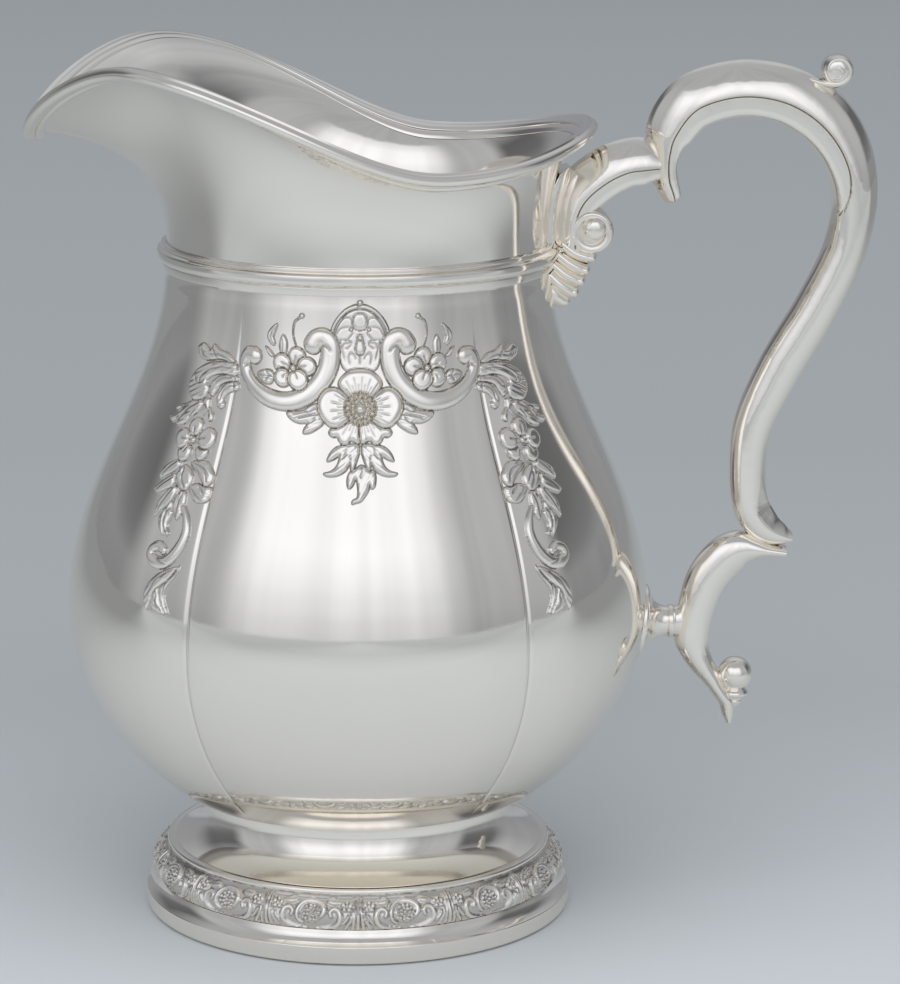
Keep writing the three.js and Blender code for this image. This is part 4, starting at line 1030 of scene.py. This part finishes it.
def cartouche():
    relief = Relief((-33, 33), (-24, 27), CELL)
    relief.pad(both_sides(GROUND_FOOT + GROUND), 0.55, 0.6)
    relief.leaf(END_LEAF, 0.9)
    relief.cuts([[[0.1, -13.7], [0.5, -14.6], [0.1, -15.8], [-0.2, -16.4]]], 0.26)
    for turn in (list, mirrored):
        relief.cuts([turn(c) for c in CREST_CUTS], 0.22)
        relief.tube(turn(ARCH_LINE), 0.7)
        relief.ball(turn([[-2.2, 18.9]])[0], 0.5, 0.8)
        for sprig in SPRIGS:
            relief.leaf(turn(sprig), 0.85)
        relief.cuts([turn(c) for c in SPRIG_CUTS])
        relief.tube(turn(TENDRIL), 0.55)
        relief.ball(turn([[-14.6, 21.9]])[0], 0.6, 0.55)
        relief.leaf(turn(FLOWER_LEAF), 0.85)
        relief.cuts([turn(c) for c in FLOWER_LEAF_CUTS])
        relief.leaf(turn(SIDE_LEAF), 0.95)
        relief.cuts([turn(c) for c in SIDE_LEAF_CUTS])
        relief.leaf(turn(LOW_LEAF), 0.95)
        relief.cuts([turn(c) for c in LOW_LEAF_CUTS], 0.24)
        relief.tube(turn(C_SCROLL), 1.6)
        relief.cuts([turn(c) for c in C_CURLS], 0.3, 0.4)
        relief.bloom(turn([[-16.8, 9.1]])[0], turn(BLOOM), 1.25)
    relief.pad(both_sides(SHIELD), 0.9)
    relief.pad(both_sides(BUD), 0.95)
    relief.ball([0, 16.9], 0.7, 0.95)
    relief.cuts([[[0, 12.9], [0, 11.6], [0, 10.2]]], 0.3)
    relief.ball([0, 25.4], 0.6, 0.7)
    # Main flower: petals, bead ring and stippled eye
    relief.pad(both_sides(TOP_PETAL), 1.35, 1.8)
    for turn in (list, mirrored):
        relief.pad(turn(LOW_PETAL), 1.15, 1.3)
        relief.pad(turn(SIDE_PETAL), 1.4, 1.8)
    relief.outline_shade = RAY_SHADE
    for k in range(RAYS):
        angle = 2 * math.pi * (k + 0.5) / RAYS
        ray = np.linspace(RAY_START, RAY_ENDS[k % 2], 3)
        line = np.column_stack([ray * math.cos(angle), ray * math.sin(angle)]) + FLOWER_CENTRE
        relief.cuts([line], 0.18, 0.16)
    relief.outline_shade = EYE_SHADE
    relief.ball(FLOWER_CENTRE, 3.0, 1.1)
    relief.beads(FLOWER_CENTRE, 16, 3.1, 0.64, 1.7)
    relief.beads(FLOWER_CENTRE, 9, 1.9, 0.5, 1.35)
    relief.ball(FLOWER_CENTRE, 1.2, 1.6)
    return relief


# Leaves of the garland from the lowest to the uppermost, each with the lines cut into it
GARLAND_LEAVES = [
    ([[2.7, -45.9], [0.9, -48.0], [0.4, -50.2], [2.2, -51.7], [6.0, -52.3], [3.8, -49.3]],
     [[[2.4, -47.6], [2.6, -49.8], [4.6, -51.6]]]),
    ([[7.2, -40.5], [4.1, -41.5], [0.8, -43.4], [-1.6, -46.2], [-2.0, -49.2], [-0.3, -52.1], [0.8, -49.8],
      [1.3, -47.2], [3.2, -45.5], [5.8, -43.3]], [[[6.7, -41.1], [2.0, -43.9], [-0.6, -48.2]]]),
    ([[7.8, -39.9], [7.2, -42.1], [4.9, -44.2], [2.9, -46.2], [3.6, -48.6], [6.2, -52.2], [6.8, -52.0],
      [5.1, -48.8], [5.1, -46.2], [6.9, -43.5], [8.0, -41.6]], [[[7.2, -41.4], [4.6, -45.4], [4.6, -48.6]]]),
    ([[0.4, -25.4], [-1.7, -27.8], [-2.5, -30.3], [-0.9, -32.8], [0.4, -33.8], [0.5, -32.3], [1.8, -33.7],
      [2.3, -33.0], [1.1, -31.2], [1.6, -29.3], [1.8, -27.3]], [[[0.9, -26.4], [-0.6, -29.7], [0.5, -32.3]]]),
    ([[4.2, -21.4], [5.5, -23.3], [7.7, -24.8], [10.4, -24.6], [11.3, -23.3], [10.8, -21.0], [9.2, -21.0],
      [6.7, -20.4]],
     [[[5.3, -21.7], [8.0, -23.7], [9.7, -24.6]], [[7.4, -21.0], [8.6, -21.8], [9.5, -22.8]]]),
    ([[-0.7, -21.8], [-3.1, -24.2], [-4.5, -26.5], [-4.1, -29.8], [-2.8, -28.3], [-1.0, -26.7], [0.6, -24.7],
      [0.8, -22.2]], [[[-0.2, -22.4], [-2.2, -25.4], [-3.8, -29.2]]]),
    ([[3.0, -21.9], [1.3, -23.9], [0.9, -26.4], [2.3, -28.6], [3.5, -29.6], [4.6, -27.9], [4.8, -25.2],
      [4.1, -22.8]], [[[3.4, -22.6], [2.9, -25.8], [3.3, -29.2]]]),
    ([[-0.9, -19.0], [-4.1, -20.4], [-5.9, -21.9], [-7.4, -23.5], [-6.1, -24.3], [-3.2, -23.3],
      [-0.7, -21.7]], [[[-1.1, -19.8], [-4.0, -21.8], [-6.4, -23.8]]]),
    ([[0.6, -16.7], [-0.9, -19.0], [-0.6, -20.8], [1.6, -22.2], [3.7, -22.5], [4.8, -20.7], [4.5, -18.7],
      [2.4, -16.8]], [[[1.3, -17.1], [1.5, -19.8], [3.3, -22.2]]]),
    ([[2.6, -15.7], [4.8, -15.1], [7.5, -15.1], [9.5, -16.5], [10.6, -18.8], [10.1, -20.5], [8.8, -20.9],
      [7.4, -19.7], [5.7, -18.2], [3.8, -17.1]], [[[3.7, -15.8], [7.6, -17.1], [9.3, -20.2]]]),
    ([[-1.3, -15.5], [-4.3, -16.7], [-6.3, -18.4], [-6.5, -20.8], [-4.1, -19.8], [-1.6, -18.3],
      [-0.2, -16.8]], [[[-1.4, -15.8], [-3.7, -17.8], [-5.9, -20.3]]]),
    ([[0.7, -0.9], [2.0, -2.5], [2.1, -4.6], [3.2, -3.3], [4.2, -5.7], [5.5, -5.3], [5.0, -3.7], [3.5, -2.3],
      [2.9, -0.3]], [[[1.6, -1.4], [2.9, -2.8], [4.6, -4.8]]]),
    ([[0.2, -0.9], [-2.6, -1.2], [-4.9, -2.4], [-8.1, -3.4], [-7.8, -4.5], [-5.9, -3.9], [-7.6, -5.5],
      [-9.9, -6.2], [-8.5, -7.4], [-6.3, -6.8], [-6.5, -7.8], [-3.5, -7.4], [-1.4, -5.3], [0.9, -3.2],
      [1.3, -1.8]],
     [[[-0.2, -1.7], [-3.2, -3.7], [-5.9, -7.0]], [[-0.6, -3.5], [-1.6, -4.6], [-2.3, -5.8]],
      [[-3.1, -2.8], [-4.4, -3.1], [-5.5, -3.7]]]),
    ([[8.5, 8.9], [5.9, 11.1], [3.1, 11.7], [0.6, 12.9], [-0.3, 11.6], [-2.7, 12.7], [-4.9, 11.9],
      [-4.5, 10.0], [-2.3, 8.8], [0.1, 8.7], [2.9, 9.3], [6.1, 9.1]],
     [[[7.5, 9.2], [3.4, 10.4], [-0.6, 10.2]], [[0.4, 8.9], [-2.0, 9.7], [-3.3, 11.2]],
      [[2.7, 9.4], [1.3, 10.8], [0.5, 12.1]]]),
    ([[11.0, 2.6], [10.3, 4.4], [7.5, 4.0], [5.9, 3.1], [5.1, 1.4], [4.8, -0.4], [5.8, -2.0], [7.3, -2.4],
      [8.0, -1.4], [7.2, -0.1], [8.3, 1.6]], [[[10.3, 3.6], [7.8, 3.1], [6.4, 1.5], [6.3, -0.6]]]),
    ([[10.2, 4.7], [9.6, 5.9], [5.6, 5.7], [2.6, 4.4], [1.8, 2.7], [2.1, 1.0], [3.6, 0.2], [4.6, 1.7],
      [5.4, 3.3], [7.4, 4.2]], [[[9.8, 5.2], [5.8, 4.9], [3.5, 3.4]]]),
    ([[9.7, 6.1], [8.7, 8.6], [3.8, 8.8], [-0.7, 7.9], [-4.0, 5.9], [-5.6, 3.2], [-5.4, 0.8], [-3.2, -1.1],
      [-0.5, -1.1], [1.6, 0.2], [1.7, 2.2], [0.6, 3.8], [2.2, 5.1], [5.1, 5.9]],
     [[[9.1, 7.2], [4.7, 7.6], [1.0, 6.6], [-1.5, 4.6], [-1.7, 2.8]],
      [[-3.7, 4.7], [-2.6, 3.1], [-1.0, 3.1], [0.0, 4.1]]]),
]
GARLAND_SCROLL = [
    [4.7, -26.5, 0.6], [6.3, -29.0, 1.0], [7.3, -32.3, 1.3], [6.6, -35.5, 1.5], [4.9, -38.2, 1.6],
    [2.4, -40.0, 1.6], [-0.5, -40.0, 1.5], [-2.3, -38.7, 1.3], [-2.0, -37.1, 1.2], [0.3, -36.2, 1.2],
    [1.9, -37.1, 1.1],
]
GARLAND_BLOOM = [[-0.4, -13.7, 2.3], [5.0, -13.0, 2.1], [1.0, -7.4, 2.3], [-2.4, -10.6, 2.5],
                 [5.4, -9.8, 2.7]]


def garland():
    relief = Relief((-13, 13), (-55, 15), CELL)
    for outline, lines in GARLAND_LEAVES:
        relief.leaf(outline, 0.95)
        relief.cuts(lines)
    relief.tube(GARLAND_SCROLL, 1.2)
    relief.cuts([[[3.8, -40.2], [1.3, -39.7], [0.4, -38.5], [1.9, -37.5]]], 0.24, 0.3)
    relief.bloom([1.5, -10.6], GARLAND_BLOOM, 1.2)
    return relief


def laid_on_bowl(angle):
    """Places flat points on the bowl round an angle."""
    def place(u, v, lift):
        z = ORNAMENT_Z + v
        return bowl_point(angle + u / bowl_radius(z), z, lift)
    return place


def turned_back(form):
    """The same form on the back of the pitcher."""
    other = Form()
    other.points = [p * [-1, -1, 1] for p in form.points]
    other.faces = form.faces
    return other


def lay(name, relief, angle, front_node, back_node):
    """Builds an ornament on the front of the bowl and again on its back."""
    form, recess = relief_form(relief, laid_on_bowl(angle))
    build(f"{name}_front", form, CHASED, front_node, ORNAMENT_SHARP, recess)
    build(f"{name}_back", turned_back(form), CHASED, back_node, ORNAMENT_SHARP, recess)


# The cartouche stands a little towards the handle from the middle of its panel
CARTOUCHE_ANGLE = 0.7 / 71
GARLAND_ANGLE = math.radians(44)

lay("cartouche_relief", cartouche(), CARTOUCHE_ANGLE, "front_cartouche", "back_cartouche")
leaves = garland()
lay("garland_relief_left", leaves, -GARLAND_ANGLE, "front_spout_garland", "back_handle_garland")
leaves.u = -leaves.u
lay("garland_relief_right", leaves, GARLAND_ANGLE, "front_handle_garland", "back_spout_garland")

# Foot border

BORDER_UNITS = 14
BORDER_WIDTH = 24.7
SWELL = [(54, BASE_HEIGHT), (57, 13.4), (51.2, 17.1)]
BORDER_CELL = 0.26
BORDER_STEPS = 88
BORDER_EDGE = 0.8
BORDER_SINK = 0.45
EDGE_SINK = 0.1
BORDER_BEAD = [
    (51.1, 17.2, 0.1), (51.4, 17.8, 0.4), (51.2, 18.7, 0.5), (50.2, 18.9, 0.5), (49.05, 18.7, 0),
    (49.05, BASE_HEIGHT, 0),
]
# Painted shade and tarnish in the border's lines, and on its sunk ground between the elements
BORDER_LINE_SHADE = 0.5
GROUND_SHADE = 0.3
ROSETTE_RIM = [[-2.2, -3.0, 0.4], [-3.4, -2.0, 0.5], [-3.8, -0.4, 0.55], [-3.3, 1.5, 0.6], [-2.0, 2.8, 0.7],
               [0.0, 3.2, 0.75], [2.2, 2.6, 0.8], [3.4, 1.2, 0.8], [3.1, -0.4, 0.6], [2.2, -1.4, 0.4]]
BORDER_SCROLL = [[5.3, -1.0, 0.45], [5.0, 0.2, 0.5], [5.8, 1.0, 0.6], [7.1, 0.7, 0.65], [7.7, -0.9, 0.7],
                 [7.3, -2.6, 0.7], [5.8, -3.9, 0.7], [3.7, -4.5, 0.6], [1.2, -4.7, 0.4]]
BORDER_LEAF = [[3.9, 3.2], [4.6, 4.1], [6.0, 4.2], [7.6, 3.4], [8.2, 2.6], [6.6, 2.3], [5.2, 2.4]]
PALMETTE = [
    [[12.35, 4.4, 0.3], [12.35, 0.4, 0.4], [12.35, -4.6, 0.55]],
    [[11.5, 4.0, 0.3], [11.5, 0.6, 0.35], [11.2, -2.4, 0.45], [10.9, -4.7, 0.5]],
    [[10.8, 0.2, 0.3], [10.4, -1.8, 0.4], [9.6, -3.4, 0.45], [8.9, -4.7, 0.45]],
    [[9.9, -0.6, 0.3], [9.3, -1.8, 0.4], [8.3, -3.0, 0.4]],
]


def border_unit():
    """One repeat of the border: a rosette in scrolls, with half a palmette at either end."""
    half = BORDER_WIDTH / 2
    relief = Relief((-half - 1, half + 1), (-6, 6), BORDER_CELL)
    relief.outline_shade = BORDER_LINE_SHADE
    for turn in (list, mirrored):
        for rib in PALMETTE:
            relief.tube(turn(rib), 0.7)
        relief.pad(turn(BORDER_LEAF), 0.7, 0.7)
        relief.cuts([turn([[4.4, 3.4], [5.8, 3.3], [7.4, 3.0]])])
        relief.tube(turn(BORDER_SCROLL), 0.9)
        centre = turn([[9.4, 1.9]])[0]
        relief.beads(centre, 5, 1, 0.72, 0.85, math.pi / 2)
        relief.ball(centre, 0.5, 0.95)
    relief.ball([0, 0], 3.0, 0.7)
    relief.tube(ROSETTE_RIM, 1.0)
    for count, ring in ((11, 2.0), (7, 1.1), (1, 0.0)):
        relief.beads([0, 0], count, ring, 0.5, 0.95)
    # Painted shade and tarnish on the sunk ground
    relief.shade_tarnish = np.maximum(relief.shade_tarnish, GROUND_SHADE * (relief.height < LIP))
    return relief


def border_row(relief, v, turn):
    """Height and painted shade and tarnish of the border at a place up the swell, for each turn round the
    foot.
    """
    unit = 2 * np.pi / BORDER_UNITS
    u = ((turn / unit) % 1 - 0.5) * BORDER_WIDTH
    column = (u - relief.u[0, 0]) / relief.cell
    row = np.clip((v - relief.v[0, 0]) / relief.cell, 0, relief.u.shape[0] - 1.001)
    r, c = int(row), column.astype(int)
    fr, fc = row - r, column - c

    def sample(field):
        low = lerp(field[r, c], field[r, c + 1], fc)
        return lerp(low, lerp(field[r + 1, c], field[r + 1, c + 1], fc), fr)
    return sample(np.maximum(relief.height, 0)), sample(relief.shade_tarnish)


def foot_border():
    relief = border_unit()
    turn = full_turn(BORDER_UNITS * BORDER_STEPS)
    swell = bezier(SWELL, 40)
    ahead = unit(np.gradient(swell, axis=0))
    normal = np.column_stack([ahead[:, 1], -ahead[:, 0]])
    length = np.concatenate([[0], np.cumsum(np.hypot(*np.diff(swell, axis=0).T))])
    rows, recess = [], []
    for place, out, v in zip(swell, normal, length - length[-1] / 2):
        height, depth = border_row(relief, v, turn)
        fade = np.clip((length[-1] / 2 - abs(v)) / BORDER_EDGE, 0, 1)
        lift = lerp(-EDGE_SINK, height - BORDER_SINK, fade)
        rows.append(around(turn, place[0] + out[0] * lift, place[1] + out[1] * lift))
        # depth here is the painted shade and tarnish of this row
        recess.append(depth)
    bead = rounded(BORDER_BEAD, 3)
    rows += list(around(turn[None], bead[:, :1], bead[:, 1:]))
    recess += [np.zeros_like(turn)] * len(bead)
    return looped(np.array(rows)), np.concatenate(recess)


border_form, border_recess = foot_border()
build("foot_border_relief", border_form, CHASED, "foot_border", 50, border_recess)

# Studio

CAMERA_DISTANCE = 958
CAMERA_HEIGHT = CAMERA_DISTANCE * math.tan(math.radians(18.63))
CAMERA_PITCH = math.radians(12.4)
CAMERA_ROLL = math.radians(0.30)
FOCAL_PIXELS = 3700
# The bowl's axis stands this many pixels beside the middle of the frame
AXIS_PIXELS = 94.1
CAMERA_YAW = math.atan(AXIS_PIXELS / FOCAL_PIXELS)
FRAME_HEIGHT = 984
SENSOR = 36
CLIP_END = 50


def camera():
    yaw, pitch, roll = CAMERA_YAW, CAMERA_PITCH, CAMERA_ROLL
    ahead = np.array([math.sin(yaw) * math.cos(pitch), math.cos(yaw) * math.cos(pitch), -math.sin(pitch)])
    level = np.array([math.cos(yaw), -math.sin(yaw), 0])
    upright = np.cross(level, ahead)
    right = math.cos(roll) * level + math.sin(roll) * upright
    up = math.cos(roll) * upright - math.sin(roll) * level
    place = (np.array([0, -CAMERA_DISTANCE, CAMERA_HEIGHT]) + [AXIS_X, 0, 0]) * MM
    data = bpy.data.cameras.new("camera")
    data.sensor_width = SENSOR
    data.lens = FOCAL_PIXELS / FRAME_HEIGHT * SENSOR
    data.clip_end = CLIP_END
    body = bpy.data.objects.new("camera", data)
    turn = np.eye(4)
    turn[:3, 0], turn[:3, 1], turn[:3, 2], turn[:3, 3] = right, up, -ahead, place
    body.matrix_world = Matrix(turn.tolist())
    bpy.context.collection.objects.link(body)
    bpy.context.scene.camera = body


camera()


PAPER_TINT = (0.945, 0.992, 1.015)
TENT_TINT = (0.955, 0.998, 1.085)


def tinted(grey, tint):
    return (*(grey * c for c in tint), 1)


# Greys of the paper from front to back, by distance behind the pitcher in metres: painted shading for the
# light's falloff towards the back, brightened near the foot to soften its shadow
FLOOR_SHADING = [(-3, 0.65), (-1.3, 0.62), (-0.75, 0.59), (-0.5, 0.65), (-0.35, 0.68), (-0.15, 0.65),
               (-0.05, 0.595), (0.05, 0.54), (0.2, 0.435), (0.6, 0.385), (1.5, 0.36), (3.8, 0.30)]
FLOOR_HALF = 9.0
PAPER_ROUGHNESS = 0.9
# Beyond its sides, which run apart towards the back, the paper falls into shade, most of all behind the
# pitcher
PAPER_SIDE = (0.16, 0.85)
PAPER_SPREAD = 0.12
PAPER_BEHIND = (-0.15, 0.15)
PAPER_SHADE = 0.29
FRONT_SHARE = 0.35


def floor():
    """Paper under the pitcher, with painted shading: greys from front to back for the light's falloff, and
    painted shade beyond its sides.
    """
    mesh = bpy.data.meshes.new("floor")
    corners = [(-1, -1), (1, -1), (1, 1), (-1, 1)]
    mesh.from_pydata([(FLOOR_HALF * x, FLOOR_HALF * y, 0) for x, y in corners], [], [[0, 1, 2, 3]])
    material = bpy.data.materials.new("studio_paper")
    material.use_nodes = True
    tree = material.node_tree
    place = add_node(tree, "TexCoord", {}, "Object")
    x, y = (add_node(tree, "SeparateXYZ", {"Vector": place}, axis) for axis in "XY")
    nearest, farthest = FLOOR_SHADING[0][0], FLOOR_SHADING[-1][0]
    stops = [((at - nearest) / (farthest - nearest), tinted(grey, PAPER_TINT)) for at, grey in FLOOR_SHADING]
    tone = ramp(tree, stretch(tree, y, (nearest, farthest)), stops)
    spread = calculate(tree, "MULTIPLY", y, PAPER_SPREAD)
    aside = calculate(tree, "SUBTRACT", calculate(tree, "ABSOLUTE", x), spread)
    beside = stretch(tree, aside, PAPER_SIDE, kind="SMOOTHSTEP")
    behind = stretch(tree, y, PAPER_BEHIND, FRONT_SHARE, kind="SMOOTHSTEP")
    shade = calculate(tree, "MULTIPLY", beside, behind)
    sockets = tree.nodes["Principled BSDF"].inputs
    sockets["Roughness"].default_value = PAPER_ROUGHNESS
    sockets["Specular IOR Level"].default_value = 0
    tree.links.new(mix(tree, shade, tone, tinted(PAPER_SHADE, PAPER_TINT)), sockets["Base Color"])
    mesh.materials.append(material)
    body = bpy.data.objects.new("floor", mesh)
    bpy.context.collection.objects.link(body)


floor()

# Greys of the tent by elevation in degrees: before the pitcher, at its sides, half behind it and straight
# behind it, and the spans of the heading (1 ahead to -1 behind) over which each takes over from the sides
FRONT_TONES = [(-90, 0.6), (0, 0.66), (8, 0.73), (17.5, 0.91), (28, 1.05), (38, 1.02), (45, 0.85), (48, 0.80),
               (51, 0.43), (70, 0.42), (90, 0.43)]
SIDE_TONES = [(-90, 0.4), (0, 0.36), (10, 0.42), (25, 0.46), (45, 0.44), (60, 0.40), (90, 0.43)]
BACK_TONES = [(-90, 0.2), (0, 0.25), (6, 0.27), (10, 0.19), (16, 0.14), (28, 0.12), (36, 0.25), (46, 0.38),
              (60, 0.42), (90, 0.43)]
REAR_TONES = [(-90, 0.2), (0, 0.28), (20, 0.32), (35, 0.46), (60, 0.56), (90, 0.43)]
TENT_TURN = math.radians(-9)
FRONT_SPAN = (0.5, 0.88)
BACK_SPAN = (0.05, -0.20)
REAR_SPAN = (-0.60, -0.88)
FOLD_SCALE = 6
FOLD_DETAIL = 3
FOLD_DEPTH = 0.3
EDGE_WAVE = 0.06
LAMP_STRENGTH = 2.04
LAMP_TILT = math.radians(38)
LAMP_SPREAD = math.radians(100)


def studio():
    """Soft tent of light with faint upright folds, bright in front and grey at the sides, back and top."""
    world = bpy.data.worlds.new("studio")
    bpy.context.scene.world = world
    world.use_nodes = True
    tree = world.node_tree
    place = add_node(tree, "TexCoord", {}, "Generated")
    level = add_node(tree, "VectorMath", {0: place, 1: (1, 1, 0)}, operation="MULTIPLY")
    heading = add_node(tree, "VectorMath", {0: level}, operation="NORMALIZE")
    front = (math.sin(TENT_TURN), -math.cos(TENT_TURN), 0)
    ahead = add_node(tree, "VectorMath", {0: heading, 1: front}, "Value", operation="DOT_PRODUCT")
    folds = add_node(tree, "TexNoise", {"Scale": FOLD_SCALE, "Detail": FOLD_DETAIL, "Vector": heading})
    fold = calculate(tree, "SUBTRACT", folds, 0.5)
    upright = add_node(tree, "SeparateXYZ", {"Vector": place}, "Z")
    height = calculate(tree, "MULTIPLY_ADD", fold, EDGE_WAVE, upright)
    share = calculate(tree, "MULTIPLY_ADD", height, 0.5, 0.5)

    def wall(tones):
        return ramp(tree, share, [((math.sin(math.radians(rise)) + 1) / 2, tinted(grey, TENT_TINT))
                                  for rise, grey in tones])

    tent = wall(SIDE_TONES)
    for tones, span in ((FRONT_TONES, FRONT_SPAN), (BACK_TONES, BACK_SPAN), (REAR_TONES, REAR_SPAN)):
        tent = mix(tree, stretch(tree, ahead, span, kind="SMOOTHSTEP"), tent, wall(tones))
    sockets = tree.nodes["Background"].inputs
    tree.links.new(tent, sockets["Color"])
    tree.links.new(calculate(tree, "MULTIPLY_ADD", fold, FOLD_DEPTH, 1), sockets["Strength"])


def overhead_lamp():
    """Broad light from above the camera for the paper and its shadow; the metal shows the tent alone."""
    light = bpy.data.lights.new("overhead", "SUN")
    light.energy = LAMP_STRENGTH
    light.angle = LAMP_SPREAD
    body = bpy.data.objects.new("overhead", light)
    body.rotation_euler = (LAMP_TILT, 0, 0)
    body.visible_glossy = False
    bpy.context.collection.objects.link(body)


studio()
overhead_lamp()

scene = bpy.context.scene
scene.view_settings.view_transform = "Standard"
